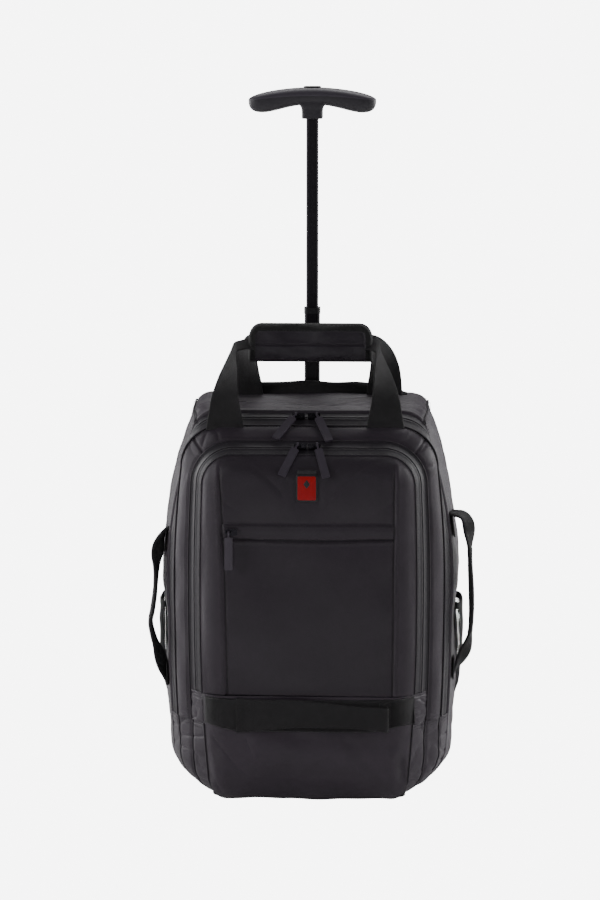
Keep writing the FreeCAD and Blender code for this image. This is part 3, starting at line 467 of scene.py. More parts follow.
@dataclass
class Finishes:
    """Every finish of the case, each made once."""

    # coated polyester: smooth face with a faint weave and a satin glow
    body: bpy.types.Material = field(default_factory=lambda: Cloth(
        "coated_polyester_charcoal", "3d353f", "251f27", 0.44, Weave.COATED, 0.9, 0.04, 0.1).make())
    # the same cloth painted darker, a painted-shade copy of the body cloth for the less-lit middle of the
    # front; here it covers the piping and the wrap
    front: bpy.types.Material = field(default_factory=lambda: Cloth(
        "coated_polyester_painted_shade", "2c262f", "1a161c", 0.44, Weave.COATED, 0.9, 0.04, 0.08).make())
    # loosely woven nylon lining
    lining: bpy.types.Material = field(default_factory=lambda: Cloth(
        "nylon_lining", "3b3a41", "2a2930", 0.6, Weave.LINING, 1.1, 0.06, 0.2).make())
    # ribbed polypropylene webbing: dull ribs along its length
    webbing: bpy.types.Material = field(default_factory=lambda: Cloth(
        "ribbed_webbing_black", "1f1c21", "0c0b0d", 0.66, Weave.RIBBED, 2.2, 0.4, 0.12).make())
    # grosgrain binding tape
    binding: bpy.types.Material = field(default_factory=lambda: Cloth(
        "binding_tape_black", "141216", "0a090b", 0.7, Weave.TAPE, 1.1, 0.12, 0.1).make())
    # zip tape with a coated face
    tape: bpy.types.Material = field(default_factory=lambda: Cloth(
        "zip_tape_coated", "2e2a31", "1f1c22", 0.45, Weave.TAPE, 1.2, 0.05, 0.1).make())
    # spun polyester sewing thread
    thread: bpy.types.Material = field(default_factory=lambda: Cloth(
        "sewing_thread", "272429", "171519", 0.6, Weave.LINING, 0.4, 0.03, 0.1).make())
    # knitted net yarn
    net: bpy.types.Material = field(default_factory=lambda: Cloth(
        "net_yarn", "2a282d", "19181b", 0.7, Weave.LINING, 0.4, 0.03, 0.3).make())
    # spark-eroded ABS: matt with a fine even grain
    plastic: bpy.types.Material = field(default_factory=lambda: Hard(
        "moulded_abs_black", "1b1a1e", 0.5, ior=1.53, grain_mm=0.5, grain_depth_mm=0.03).make())
    # lighter grey for the top of the grip bar: painted light where the top faces the light, over the same
    # plastic as its darker underside; almost no shine
    grip_top_painted_light: bpy.types.Material = field(default_factory=lambda: Hard(
        "grip_top_painted_light_grey", "47424c", 0.5, ior=1.5, grain_mm=0.4, grain_depth_mm=0.02).make())
    grip: bpy.types.Material = field(default_factory=lambda: Hard(
        "grip_abs_dark", "2a272e", 0.42, ior=1.53, grain_mm=0.5, grain_depth_mm=0.015).make())
    # black anodised aluminium tube, drawn along its length
    anodised: bpy.types.Material = field(default_factory=lambda: Hard(
        "anodised_tube_black", "242127", 0.38, metallic=0.6, grain_mm=0.25, grain_depth_mm=0.01,
        stretch=40).make())
    steel: bpy.types.Material = field(default_factory=lambda: Hard(
        "zinc_plated_steel", "9c9ca2", 0.32, metallic=1.0, grain_mm=0.3, grain_depth_mm=0.01).make())
    # black nickel on die-cast zinc
    nickel: bpy.types.Material = field(default_factory=lambda: Hard(
        "black_nickel", "36343a", 0.26, metallic=0.9, grain_mm=0.4, grain_depth_mm=0.01).make())
    # moulded rubber-like pull
    pull: bpy.types.Material = field(default_factory=lambda: Hard(
        "moulded_pull", "453f49", 0.4, ior=1.5, grain_mm=0.5, grain_depth_mm=0.02).make())
    # stoved enamel under a clear coat
    enamel: bpy.types.Material = field(default_factory=lambda: Hard(
        "red_enamel", "a30006", 0.5, ior=1.35, grain_mm=1.5, grain_depth_mm=0.01, coat=0.1).make())
    # polyurethane tread
    tread: bpy.types.Material = field(default_factory=lambda: Hard(
        "polyurethane_tread", "222125", 0.6, ior=1.5, grain_mm=0.8, grain_depth_mm=0.04).make())


# ---------------------------------------------------------------- the body's form
@dataclass(frozen=True)
class Slice:
    """One cross-section of the body: insets from the widest box and its corner radii, in millimetres."""

    t: float
    side: float
    drop: float
    rise: float
    low: float
    shoulder: float
    r_low: float
    r_top: float


@dataclass
class CaseForm:
    """The soft body as a stack of cross-sections, back to front.

    Attributes:
        top: top of the fabric.
        half: widest half width.
        floor: fabric bottom.
        middle: height where it is widest.
        back_y: Y of the back, in millimetres.
        slices: the cross-sections.
    """

    top: float = 540.0
    half: float = 199.0
    floor: float = 7.0
    middle: float = 250.0
    back_y: float = 106.5
    slices: tuple[Slice, ...] = (
        Slice(0, 14, 14, 6, 6, 30, 52, 20), Slice(8, 6, 5, 0, 6, 34, 56, 24),
        Slice(30, 1, 0, 0, 6, 36, 60, 25),
        Slice(90, 0, 3, 0, 6, 36, 60, 28), Slice(120, 5, 10, 0, 6, 33, 60, 36),
        Slice(133, 10, 19, 0, 6, 22, 60, 46),
        Slice(146, 16, 28, 0, 6, 10, 54, 56), Slice(168, 36, 45, 0, 7, 4, 38, 60),
        Slice(190, 53, 60, 4, 10, 3, 26, 42),
    )

    def y(self, t: float | Grid) -> float | Grid:
        """Y of a depth measured forward from the back."""
        return self.back_y - t

    def at(self, t: float) -> Slice:
        """The cross-section at any depth."""
        depths = [s.t for s in self.slices]
        names = ("side", "drop", "rise", "low", "shoulder", "r_low", "r_top")
        values = [float(np.interp(t, depths, [getattr(s, n) for s in self.slices])) for n in names]
        return Slice(t, *values)

    def corner(self, t: float, upper: bool, inset: float = 0.0) -> tuple[float, float]:
        """Middle of the right upper or lower corner arc, as X and Z."""
        s = self.at(t)
        share = math.sqrt(0.5)
        if upper:
            reach = self.half - s.side - s.shoulder - s.r_top * (1 - share) - inset
            return reach, self.top - s.drop - s.r_top * (1 - share) - inset
        reach = self.half - s.side - s.low - s.r_low * (1 - share) - inset
        return reach, self.floor + s.rise + s.r_low * (1 - share) + inset

    def loop(self, t: float, inset: float = 0.0) -> Grid:
        """Dense closed outline from the bottom middle, up the right side, over the top and down the left.

        Args:
            t: depth.
            inset: how far inside the outline.

        Returns:
            X and Z of each point, the first repeated at the end.
        """
        s = self.at(t)
        half = self.half - s.side - inset
        low, shoulder = half - s.low, half - s.shoulder
        bottom, top = self.floor + s.rise + inset, self.top - s.drop - inset
        r_low, r_top = max(s.r_low - inset, 2), max(s.r_top - inset, 2)
        z_low, z_shoulder = bottom + r_low, top - r_top
        turn = np.linspace(0, math.pi / 2, 40)
        right = [np.stack([np.linspace(0, low - r_low, 50), np.full(50, bottom)], 1),
                 np.stack([low - r_low + r_low * np.sin(turn), z_low - r_low * np.cos(turn)], 1)[1:]]
        share = np.linspace(0, 1, 60)[1:, None]
        start, end = np.array([[low, z_low]]), np.array([[half, self.middle]])
        bow = np.array([[0.25 * (half - low), 0]]) * 4 * share * (1 - share)
        right.append(start + (end - start) * share + bow)
        start, end = end, np.array([[shoulder, z_shoulder]])
        bow = np.array([[0.39 * (half - shoulder), 0]]) * 4 * share * (1 - share)
        right.append(start + (end - start) * share + bow)
        right.append(np.stack([shoulder - r_top + r_top * np.cos(turn), z_shoulder + r_top * np.sin(turn)],
                              1)[1:])
        right.append(np.stack([np.linspace(shoulder - r_top, 0, 60)[1:], np.full(59, top)], 1))
        up = np.vstack(right)
        down = up[::-1][1:] * np.array([[-1, 1]])
        return np.vstack([up, down])

    def cut(self, t: float, z_cut: float, upper: bool, inset: float = 0.0) -> Grid:
        """The outline above or below a height, from right to left above it, left to right below it."""
        loop = self.loop(t, inset)
        half = len(loop) // 2
        right, left = loop[:half + 1], loop[half:][::-1]
        index = int(np.argmax(right[:, 1] >= z_cut))
        share = (z_cut - right[index - 1, 1]) / (right[index, 1] - right[index - 1, 1])
        x = right[index - 1, 0] + share * (right[index, 0] - right[index - 1, 0])
        if upper:
            return np.vstack([[x, z_cut], right[index:], left[index:][::-1][1:], [-x, z_cut]])
        return np.vstack([[-x, z_cut], left[:index][::-1], right[1:index], [x, z_cut]])

    def ring(self, depths: Sequence[float], count: int, z_cut: Optional[float] = None, upper: bool = True,
             inset: float = 0.0) -> Grid:
        """Grid of points over a stretch of the body, one row per depth, in millimetres."""
        rows = []
        for t in depths:
            line = self.loop(t, inset) if z_cut is None else self.cut(t, z_cut, upper, inset)
            line = evenly(line, count + 1 if z_cut is None else count, 2)
            if z_cut is None:
                line = line[:-1]
            rows.append(np.stack([line[:, 0], np.full(len(line), self.y(t)), line[:, 1]], 1))
        return np.array(rows)


def coons(bottom: Grid, top: Grid, left: Grid, right: Grid) -> Grid:
    """Fills four boundary lines with a grid of points, rows from bottom to top."""
    v = np.linspace(0, 1, len(left))[:, None, None]
    u = np.linspace(0, 1, len(bottom))[None, :, None]
    ruled = (1 - v) * bottom[None] + v * top[None] + (1 - u) * left[:, None] + u * right[:, None]
    corners = ((1 - u) * (1 - v) * bottom[0] + u * (1 - v) * bottom[-1]
               + (1 - u) * v * top[0] + u * v * top[-1])
    return ruled - corners


def refine(values: Grid, rows: int, columns: int, closed: bool = False) -> Grid:
    """Resamples a coarse grid of values to a finer one."""
    if closed:
        values = np.concatenate([values, values[:, :1]], axis=1)
    old_r, old_c = np.linspace(0, 1, values.shape[0]), np.linspace(0, 1, values.shape[1])
    new_r = np.linspace(0, 1, rows)
    new_c = np.linspace(0, 1, columns + 1)[:-1] if closed else np.linspace(0, 1, columns)
    step = np.stack([[np.interp(new_c, old_c, values[i, :, k]) for i in range(len(old_r))]
                     for k in range(values.shape[2])], axis=-1)
    return np.stack([[np.interp(new_r, old_r, step[:, j, k]) for j in range(len(new_c))]
                     for k in range(values.shape[2])], axis=-1).transpose(1, 0, 2)


@dataclass
class Stuffing:
    """Cloth simulation that swells a sewn panel between its seams.

    Attributes:
        pressure: inflating pressure.
        shrink: negative makes the cloth larger than its frame, so it wrinkles.
        cap: most that a point may move, in millimetres.
        frames: simulated frames.
        soften: smoothing passes over the result, which leave the long swells and take out crumples.
        share: part of the simulated movement that is kept.
    """

    pressure: float = 3.0
    shrink: float = -0.02
    cap: float = 6.0
    frames: int = 16
    soften: int = 26
    share: float = 0.8

    def swell(self, points: Grid, pinned: Grid, flip: bool = False, closed: bool = False) -> Grid:
        """Runs the simulation on a grid of points.

        Args:
            points: rows by columns by three, in millimetres.
            pinned: true where a seam holds the cloth.
            flip: turn the faces over, so that the pressure acts outwards.
            closed: the last column joins the first.

        Returns:
            How far each point moves, in millimetres.
        """
        rows, columns = points.shape[:2]
        blank = bpy.data.materials.new("blank")
        sheet = new_piece("swelling", points, grid_faces(rows, columns, closed, flip), [blank])
        group = sheet.vertex_groups.new(name="seams")
        group.add([int(i) for i in np.flatnonzero(pinned.ravel())], 1.0, "REPLACE")
        cloth = sheet.modifiers.new("cloth", "CLOTH")
        settings = cloth.settings
        settings.quality = 4
        settings.mass = 0.2
        settings.vertex_group_mass = "seams"
        settings.tension_stiffness = 15
        settings.compression_stiffness = 15
        settings.shear_stiffness = 8
        settings.bending_stiffness = 0.6
        settings.use_pressure = True
        settings.uniform_pressure_force = self.pressure
        settings.shrink_min = self.shrink
        settings.effector_weights.gravity = 0
        cloth.collision_settings.use_collision = False
        cloth.point_cache.frame_start = 1
        cloth.point_cache.frame_end = self.frames
        scene = bpy.context.scene
        for number in range(1, self.frames + 1):
            scene.frame_set(number)
        result = sheet.evaluated_get(bpy.context.evaluated_depsgraph_get()).data
        moved = np.empty(len(result.vertices) * 3)
        result.vertices.foreach_get("co", moved)
        shift = moved.reshape(points.shape) / MM - points
        scene.frame_set(1)
        bpy.data.objects.remove(sheet)
        bpy.data.materials.remove(blank)
        length = np.linalg.norm(shift, axis=-1, keepdims=True)
        shift = shift * np.minimum(1.0, self.cap / np.maximum(length, 1e-6))
        for _ in range(self.soften):
            sides = np.pad(shift, ((0, 0), (1, 1), (0, 0)), "wrap" if closed else "edge")
            ends = np.pad(shift, ((1, 1), (0, 0), (0, 0)), "edge")
            shift = 0.5 * shift + 0.125 * (sides[:, :-2] + sides[:, 2:] + ends[:-2] + ends[2:])
            shift = np.where(pinned[..., None], 0.0, shift)
        return shift * self.share


def outward(points: Grid, closed: bool = False) -> tuple[Grid, bool]:
    """Normals of a grid turned away from the body's middle, and whether its faces need flipping."""
    normals = grid_normals(points, closed)
    away = points - np.array([0, 0, 260.0])
    flip = float((normals * away).sum()) < 0
    return (-normals if flip else normals), flip


def tube(name: str, path: Grid, radius: float, material: bpy.types.Material, closed: bool = False,
         sides: int = 8) -> bpy.types.Object:
    """Round cord along a path, in millimetres, with closed ends.

    Args:
        name: piece name.
        path: points along the middle.
        radius: cord radius.
        material: its finish.
        closed: the path is a loop.
        sides: faces round it.

    Returns:
        The cord.
    """
    tangent = np.roll(path, -1, 0) - np.roll(path, 1, 0) if closed else np.gradient(path, axis=0)
    tangent /= np.linalg.norm(tangent, axis=1)[:, None]
    guide = np.array([0, 1, 0.02])
    side = np.cross(tangent, guide)
    side /= np.maximum(np.linalg.norm(side, axis=1), 1e-6)[:, None]
    other = np.cross(side, tangent)
    turn = np.linspace(0, 2 * math.pi, sides, endpoint=False)
    rings = path[:, None] + radius * (np.cos(turn)[None, :, None] * side[:, None]
                                      + np.sin(turn)[None, :, None] * other[:, None])
    count = len(path)
    faces = grid_faces(count, sides, closed=True, flip=True)
    if closed:
        faces += [((count - 1) * sides + j, j, (j + 1) % sides, (count - 1) * sides + (j + 1) % sides)
                  for j in range(sides)]
    else:
        faces += [tuple(range(sides)), tuple(reversed(range((count - 1) * sides, count * sides)))]
    along = np.repeat(np.arange(count) * 0.002, sides)
    uv = np.stack([np.tile(turn / 1000, count), along], 1)
    return new_piece(name, rings, faces, [material], uv)


@dataclass
class Strap:
    """Flat webbing swept along a path, with ribs along its length.

    Attributes:
        thickness: in millimetres.
        rib: spacing of the ribs.
        relief: height of the ribs.
    """

    thickness: float = 2.2
    rib: float = 2.2
    relief: float = 0.22

    def make(self, name: str, path: Grid, across: Grid, material: bpy.types.Material) -> bpy.types.Object:
        """Sweeps the strap.

        Args:
            name: piece name.
            path: middle line, millimetres.
            across: half-width vector at each point.
            material: its finish.

        Returns:
            The strap.
        """
        tangent = np.gradient(path, axis=0)
        tangent /= np.linalg.norm(tangent, axis=1)[:, None]
        through = np.cross(tangent, across)
        through /= np.maximum(np.linalg.norm(through, axis=1), 1e-6)[:, None]
        width = float(np.linalg.norm(across[0])) * 2
        count = max(int(width / self.rib) * 4 + 1, 9)
        share = np.linspace(-1, 1, count)
        edge = np.clip((1 - np.abs(share)) * width / 2 / (self.thickness / 2), 0, 1) ** 0.5
        ribs = self.relief * (0.5 + 0.5 * np.cos(np.arange(count) * math.pi / 2)) * (edge > 0.9)
        height = self.thickness / 2 * (0.35 + 0.65 * edge) + ribs
        front = (path[:, None] + share[None, :, None] * across[:, None]
                 + height[None, :, None] * through[:, None])
        back = (path[:, None] + share[None, ::-1, None] * across[:, None]
                - height[None, ::-1, None] * through[:, None])
        loop = np.concatenate([front, back], axis=1)
        rows, columns = loop.shape[:2]
        faces = grid_faces(rows, columns, closed=True, flip=True)
        for row, turned in ((0, False), (rows - 1, True)):
            for j in range(count - 1):
                a = row * columns
                quad = (a + j, a + j + 1, a + columns - 2 - j, a + columns - 1 - j)
                faces.append(quad[::-1] if turned else quad)
        steps = np.concatenate([[0], np.cumsum(np.linalg.norm(np.diff(path, axis=0), axis=1))]) * MM
        spread = np.concatenate([share, share[::-1]]) * width / 2 * MM
        uv = np.stack(np.meshgrid(spread, steps), axis=-1)
        return new_piece(name, loop, faces, [material], uv)


# ---------------------------------------------------------------- repeated small parts
@dataclass
class Rows:
    """Geometry Nodes tree that sets one small part on every point, turned to its row and its surface."""

    tree: bpy.types.NodeTree = field(
        default_factory=lambda: bpy.data.node_groups.new("small_part_rows", "GeometryNodeTree"))

    def __post_init__(self) -> None:
        """Builds the tree once."""
        face = self.tree.interface
        face.new_socket("Points", in_out="INPUT", socket_type="NodeSocketGeometry")
        for name, value in (("Length", 0.0026), ("Width", 0.0007), ("Height", 0.0006)):
            face.new_socket(name, in_out="INPUT", socket_type="NodeSocketFloat").default_value = value
        face.new_socket("Finish", in_out="INPUT", socket_type="NodeSocketMaterial")
        face.new_socket("Geometry", in_out="OUTPUT", socket_type="NodeSocketGeometry")
        source = add_node(self.tree, "NodeGroupInput")
        size = add_node(self.tree, "ShaderNodeCombineXYZ", None,
                        {"X": source.outputs["Length"], "Y": source.outputs["Width"],
                         "Z": source.outputs["Height"]})
        body = add_node(self.tree, "GeometryNodeMeshIcoSphere", None, {"Radius": 0.5, "Subdivisions": 1})
        shaped = add_node(self.tree, "GeometryNodeTransform", None,
                          {"Geometry": body.outputs["Mesh"], "Scale": size.outputs[0]})
        tangent = add_node(self.tree, "GeometryNodeInputNamedAttribute", {"data_type": "FLOAT_VECTOR"},
                           {"Name": "tangent"})
        normal = add_node(self.tree, "GeometryNodeInputNamedAttribute", {"data_type": "FLOAT_VECTOR"},
                          {"Name": "facing"})
        first = add_node(self.tree, "FunctionNodeAlignRotationToVector", {"axis": "X"},
                         {"Vector": tangent.outputs["Attribute"]})
        second = add_node(self.tree, "FunctionNodeAlignRotationToVector", {"axis": "Z", "pivot_axis": "X"},
                          {"Rotation": first.outputs[0], "Vector": normal.outputs["Attribute"]})
        placed = add_node(self.tree, "GeometryNodeInstanceOnPoints", None,
                          {"Points": source.outputs["Points"], "Instance": shaped.outputs[0],
                           "Rotation": second.outputs[0]})
        real = add_node(self.tree, "GeometryNodeRealizeInstances", None, {"Geometry": placed.outputs[0]})
        dressed = add_node(self.tree, "GeometryNodeSetMaterial", None,
                           {"Geometry": real.outputs[0], "Material": source.outputs["Finish"]})
        add_node(self.tree, "NodeGroupOutput", None, {"Geometry": dressed.outputs[0]})

    def make(self, name: str, lines: Iterable[tuple[Grid, Grid]], pitch: float,
             size: tuple[float, float, float],
             material: bpy.types.Material) -> bpy.types.Object:
        """Lays small parts along lines.

        Args:
            name: piece name.
            lines: pairs of path and surface normals, millimetres.
            pitch: spacing along each line.
            size: length, width and height of one part, millimetres.
            material: its finish.

        Returns:
            One plain mesh of all the parts.
        """
        places, ways, facings = [], [], []
        for path, normals in lines:
            steps = np.linalg.norm(np.diff(path, axis=0), axis=1)
            count = max(int(steps.sum() / pitch), 2)
            both = evenly(np.hstack([path, normals]), count)
            places.append(both[:, :3])
            ways.append(np.gradient(both[:, :3], axis=0))
            facings.append(both[:, 3:])
        mesh = bpy.data.meshes.new(name)
        mesh.from_pydata((np.vstack(places) * MM).tolist(), [], [])
        for label, rows in (("tangent", ways), ("facing", facings)):
            attribute = mesh.attributes.new(label, "FLOAT_VECTOR", "POINT")
            attribute.data.foreach_set("vector", np.vstack(rows).astype(np.float32).ravel())
        points = bpy.data.objects.new(name + "_points", mesh)
        bpy.context.scene.collection.objects.link(points)
        modifier = points.modifiers.new("rows", "NODES")
        modifier.node_group = self.tree
        sockets = {s.name: s.identifier for s in self.tree.interface.items_tree if s.in_out == "INPUT"}
        for label, value in zip(("Length", "Width", "Height"), size):
            modifier[sockets[label]] = value * MM
        modifier[sockets["Finish"]] = material
        bpy.context.view_layer.update()
        evaluated = points.evaluated_get(bpy.context.evaluated_depsgraph_get())
        result = bpy.data.meshes.new_from_object(evaluated)
        result.name = name
        bpy.data.objects.remove(points)
        piece = bpy.data.objects.new(name, result)
        bpy.context.scene.collection.objects.link(piece)
        if not result.materials:
            result.materials.append(material)
        result.polygons.foreach_set("use_smooth", [True] * len(result.polygons))
        return piece


# ---------------------------------------------------------------- the sewn body
FORM = CaseForm()
LID_Z = 110.0
FLAP_Z = 152.0


@dataclass
class Seams:
    """Collects stitch lines and piping paths for each body while its panels are made.

    Attributes:
        stitch_pitch: distance from one stitch to the next.
        stitch_size: length, width and height of a stitch.
        tooth_pitch: distance from one turn of the zip coil to the next.
        tooth_size: length, width and height of one turn.
        cord_radius: radius of the piping.
    """

    stitches: dict[str, list[tuple[Grid, Grid]]] = field(default_factory=dict)
    teeth: dict[str, list[tuple[Grid, Grid]]] = field(default_factory=dict)
    cords: dict[str, list[tuple[Grid, bool]]] = field(default_factory=dict)
    stitch_pitch: float = 4.0
    stitch_size: tuple[float, float, float] = (2.9, 0.75, 0.6)
    tooth_pitch: float = 1.9
    tooth_size: tuple[float, float, float] = (1.25, 2.4, 1.6)
    cord_radius: float = 1.25

    def stitch(self, body: str, path: Grid, normals: Grid) -> None:
        """Adds a row of stitches to a body."""
        self.stitches.setdefault(body, []).append((path, normals))

    def zip_edge(self, body: str, path: Grid, normals: Grid) -> None:
        """Adds a row of zip teeth to a body."""
        self.teeth.setdefault(body, []).append((path, normals))

    def piping(self, body: str, path: Grid, closed: bool = False) -> None:
        """Adds a piping cord to a body."""
        self.cords.setdefault(body, []).append((path, closed))

    def finish(self, rows: Rows, finishes: Finishes) -> None:
        """Makes one piece of stitches, of teeth and of piping for each body."""
        for body, lines in self.stitches.items():
            piece = rows.make("stitches_" + body, lines, self.stitch_pitch, self.stitch_size, finishes.thread)
            set_down(piece, body)
        for body, lines in self.teeth.items():
            piece = rows.make("zip_coil_" + body, lines, self.tooth_pitch, self.tooth_size, finishes.tape)
            set_down(piece, body)
        for body, cords in self.cords.items():
            # the piping takes the painted-shade copy of the body cloth
            parts = [tube("piping_%d" % i, path, self.cord_radius, finishes.front, closed) for i,
                     (path, closed) in enumerate(cords)]
            set_down(joined("piping_" + body, parts), body)


@dataclass
class Panel:
    """A band of the body between two depths, swollen between its seams.

    Attributes:
        name: piece name.
        body: CAD body.
        depths: first and last depth.
        z_cut: height where it is trimmed, or None for a full ring.
        upper: which side of the trim is kept.
        nodes: CAD nodes that it replaces.
        slot: material slot; not used.
        wall: thickness.
        rows: fine rows.
        columns: fine columns.
        fill: fullness, or None for a flat tape; not used.
        stuffing: simulation, or None.
        opening: half width, first and last depth of a hole in the top, or None.
    """

    name: str
    body: str
    depths: tuple[float, float]
    z_cut: Optional[float]
    upper: bool
    nodes: tuple[str, ...]
    slot: str
    wall: float = 3.0
    rows: int = 16
    columns: int = 700
    fill: Optional[float] = 0.5
    stuffing: Optional[Stuffing] = None
    opening: Optional[tuple[float, float, float]] = None

    def build(self, materials: Sequence[bpy.types.Material],
              relief: Callable[[Grid, Grid, Grid], Grid]) -> tuple[bpy.types.Object, Grid, Grid]:
        """Builds the panel.

        Args:
            materials: outside and inside finish.
            relief: height over the form from depth, arc share and points.

        Returns:
            The piece, its points and its normals.
        """
        closed = self.z_cut is None
        knots = [s.t for s in FORM.slices if self.depths[0] < s.t < self.depths[1]]
        fine_t = np.unique(np.concatenate([np.linspace(*self.depths, self.rows), knots]))
        points = FORM.ring(fine_t, self.columns, self.z_cut, self.upper)
        if self.stuffing is not None:
            coarse_t = np.linspace(*self.depths, max(int((self.depths[1] - self.depths[0]) / 4.5), 5))
            coarse = FORM.ring(coarse_t, self.columns // 3, self.z_cut, self.upper)
            pinned = np.zeros(coarse.shape[:2], dtype=bool)
            pinned[[0, -1]] = True
            if not closed:
                pinned[:, [0, -1]] = True
            shift = self.stuffing.swell(coarse, pinned, outward(coarse, closed)[1], closed)
            fine = refine(shift, 200, points.shape[1], closed)
            index = np.interp(fine_t, np.linspace(*self.depths, 200), np.arange(200))
            points = points + fine[np.round(index).astype(int)]
        normals, flip = outward(points, closed)
        share = np.linspace(0, 1, points.shape[1])[None].repeat(len(fine_t), 0)
        depth = fine_t[:, None].repeat(points.shape[1], 1)
        points = points + relief(depth, share, points)[..., None] * normals
        steps = np.linalg.norm(np.diff(points[0], axis=0, prepend=points[0][:1]), axis=1).cumsum() * MM
        uv = np.stack([depth * MM, steps[None].repeat(len(fine_t), 0)], -1)
        faces = grid_faces(*points.shape[:2], closed=closed, flip=flip)
        if self.opening is not None:
            half, start, end = self.opening
            hole = (np.abs(points[..., 0]) < half) & (depth > start) & (depth < end) & (points[..., 2] > 500)
            gone = hole.ravel()
            faces = [face for face in faces if not gone[list(face)].any()]
        piece = new_piece(self.name, points, faces, materials, uv)
        if self.opening is not None:
            drop_points(piece, lambda v: not v.link_faces)
        thicken(piece, self.wall, 1 if len(materials) > 1 else 0)
        set_down(piece, self.body, self.nodes)
        return piece, points, normals


def line_distance(points: Grid, line: Callable[[float], tuple[float, float]], depth: Grid) -> Grid:
    """Distance in the XZ plane from each point to a line that runs along the body on both sides."""
    depths = np.unique(depth)
    where = np.array([line(float(t)) for t in depths])
    x = np.interp(depth, depths, where[:, 0])
    z = np.interp(depth, depths, where[:, 1])
    return np.hypot(np.abs(points[..., 0]) - x, points[..., 2] - z)


@dataclass
class Body:
    """The fixed part of the case: gussets, back, bottom and its half of the main zip.

    Attributes:
        wheel_slot: inner and outer distance from the middle, and top, of each wheel housing's slot, m.
        pole_opening: half width, first and last depth of the hole in the top for the pole.
    """

    finishes: Finishes
    seams: Seams
    wheel_slot: tuple[float, float, float] = (0.107, 0.149, 0.0735)
    pole_opening: tuple[float, float, float] = (13.4, 11.6, 36.4)

    def build(self) -> None:
        """Builds every sewn panel that rides on the case."""
        self.gussets()
        self.zip_tape()
        self.lower_gusset()
        self.back()
        self.port_guard()

    def corner_line(self, t: float) -> tuple[float, float]:
        """Where the top gusset meets the side gusset, at a depth."""
        x, z = FORM.corner(t, True)
        return x + 5.0, z - 4.0

    def gussets(self) -> None:
        """Top, side and bottom gussets as one ring, with their lengthwise seams."""
        panel = Panel("body_gussets", "case", (8, 125), None, True,
                      ("top_gusset", "side_gusset_left", "side_gusset_right", "bottom_gusset"), "body_fabric",
                      3.0, 44, 900, 0.45, Stuffing(1.6, -0.012, 5.0), self.pole_opening)

        def relief(depth: Grid, share: Grid, points: Grid) -> Grid:
            """Unevenness, the sag of the top and the seams."""
            seam = bump(line_distance(points, self.corner_line, depth), 0, 2.2)
            low = bump(line_distance(points, lambda t: (FORM.corner(t, False)[0] + 8,
                                                        FORM.corner(t, False)[1] + 16), depth), 0, 2.0)
            middle = smoothstep(depth, 8, 30) * smoothstep(-depth, -125, -101)
            sag = (smoothstep(depth, 44, 66) * smoothstep(-depth, -125, -104)
                   * smoothstep(points[..., 2], 520, 534))
            sag = sag * np.clip(1 - (points[..., 0] / 168) ** 2, 0, 1)
            soft = 1.1 * crumple(points, (120, 60, 120), 1) + 0.35 * crumple(points, (26, 22, 26), 2)
            top = smoothstep(points[..., 2], 505, 530)
            crease = folds(points, (150, 22, 150), 3) * top * smoothstep(depth, 60, 100)
            hem = 1.0 * bump(depth, 8, 2) + 1.4 * bump(depth, 125, 1.6) - 0.5 * bump(depth, 121, 2.0)
            return middle * (soft - 1.4 * crease) - 5.5 * sag - 1.3 * seam - 1.2 * low - hem

        materials = [self.finishes.body, self.finishes.lining]
        _, points, normals = panel.build(materials, relief)
        for sign in (1, -1):
            depths = np.linspace(9, 124, 60)
            x_z = np.array([self.corner_line(float(t)) for t in depths])
            path = np.stack([sign * x_z[:, 0], FORM.y(depths), x_z[:, 1]], 1)
            side = np.array([sign * 0.75, 0, 0.66])
            self.seams.piping("case", path + side * 0.3)
            for offset in (4.0, -4.0):
                shifted = path + np.array([sign * offset * 0.7, 0, -offset * 0.75]) + side * 0.9
                self.seams.stitch("case", shifted, np.tile(side, (60, 1)))

    def zip_tape(self) -> None:
        """Case half of the main zip tape, with its coil and a row of stitches along it."""
        panel = Panel("main_zip_tape_rear", "case", (124, 132.6), LID_Z, True, ("main_zip_tape_case",),
                      "zip_tape",
                      2.0, 12, 620, None)

        def relief(depth: Grid, share: Grid, points: Grid) -> Grid:
            """A flat tape set a little below the gusset, with a rolled lip at the zip."""
            return -1.3 + 0.9 * bump(depth, 131.4, 1.6)

        _, points, normals = panel.build([self.finishes.tape], relief)
        self.seams.zip_edge("case", points[-1] - normals[-1] * 1.6, normals[-1])
        line = FORM.ring([122.0], 620, LID_Z, True)[0]
        self.seams.stitch("case", line + normals[0] * 0.6, normals[0])

    def lower_gusset(self) -> None:
        """Gusset under the lid's fold, from the main zip round the bottom to the front panel."""
        panel = Panel("lower_gusset", "case", (120, 190), LID_Z - 0.4, False, ("lower_front_panel",),
                      "body_fabric",
                      3.0, 40, 420, 0.4, Stuffing(1.6, -0.02, 4.0))

        def relief(depth: Grid, share: Grid, points: Grid) -> Grid:
            """Creased corners, where the gussets are gathered into the bottom seam."""
            seams = bump(depth, 146, 2.2) + bump(depth, 168, 2.2) + bump(depth, 120, 2.0)
            corner = smoothstep(np.abs(points[..., 0]), 90, 140)
            crease = folds(points, (60, 60, 30), 11) * corner
            soft = 0.8 * crumple(points, (70, 40, 60), 12)
            bar = bump(points[..., 2], 106.5, 1.0) + bump(points[..., 2], 102.0, 1.0)
            return 0.6 * soft - 1.3 * crease - 1.8 * seams - 0.5 * bar

        _, points, normals = panel.build([self.finishes.body, self.finishes.lining], relief)
        depths = np.linspace(120, 190, points.shape[0])
        for t in (146, 168):
            row = int(np.argmin(np.abs(depths - t)))
            self.seams.piping("case", points[row] + normals[row] * 0.5)
        for height in (106.5, 102.0):
            for sign in (1, -1):
                rows = [int(np.argmin(np.abs(points[i, :, 2] - height) + 500 * (points[i, :, 0] * sign < 0)))
                        for i in range(len(points))]
                path = np.array([points[i, j] + normals[i, j] * 0.6 for i, j in enumerate(rows)])
                facing = np.array([normals[i, j] for i, j in enumerate(rows)])
                self.seams.stitch("case", path[3:-3], facing[3:-3])

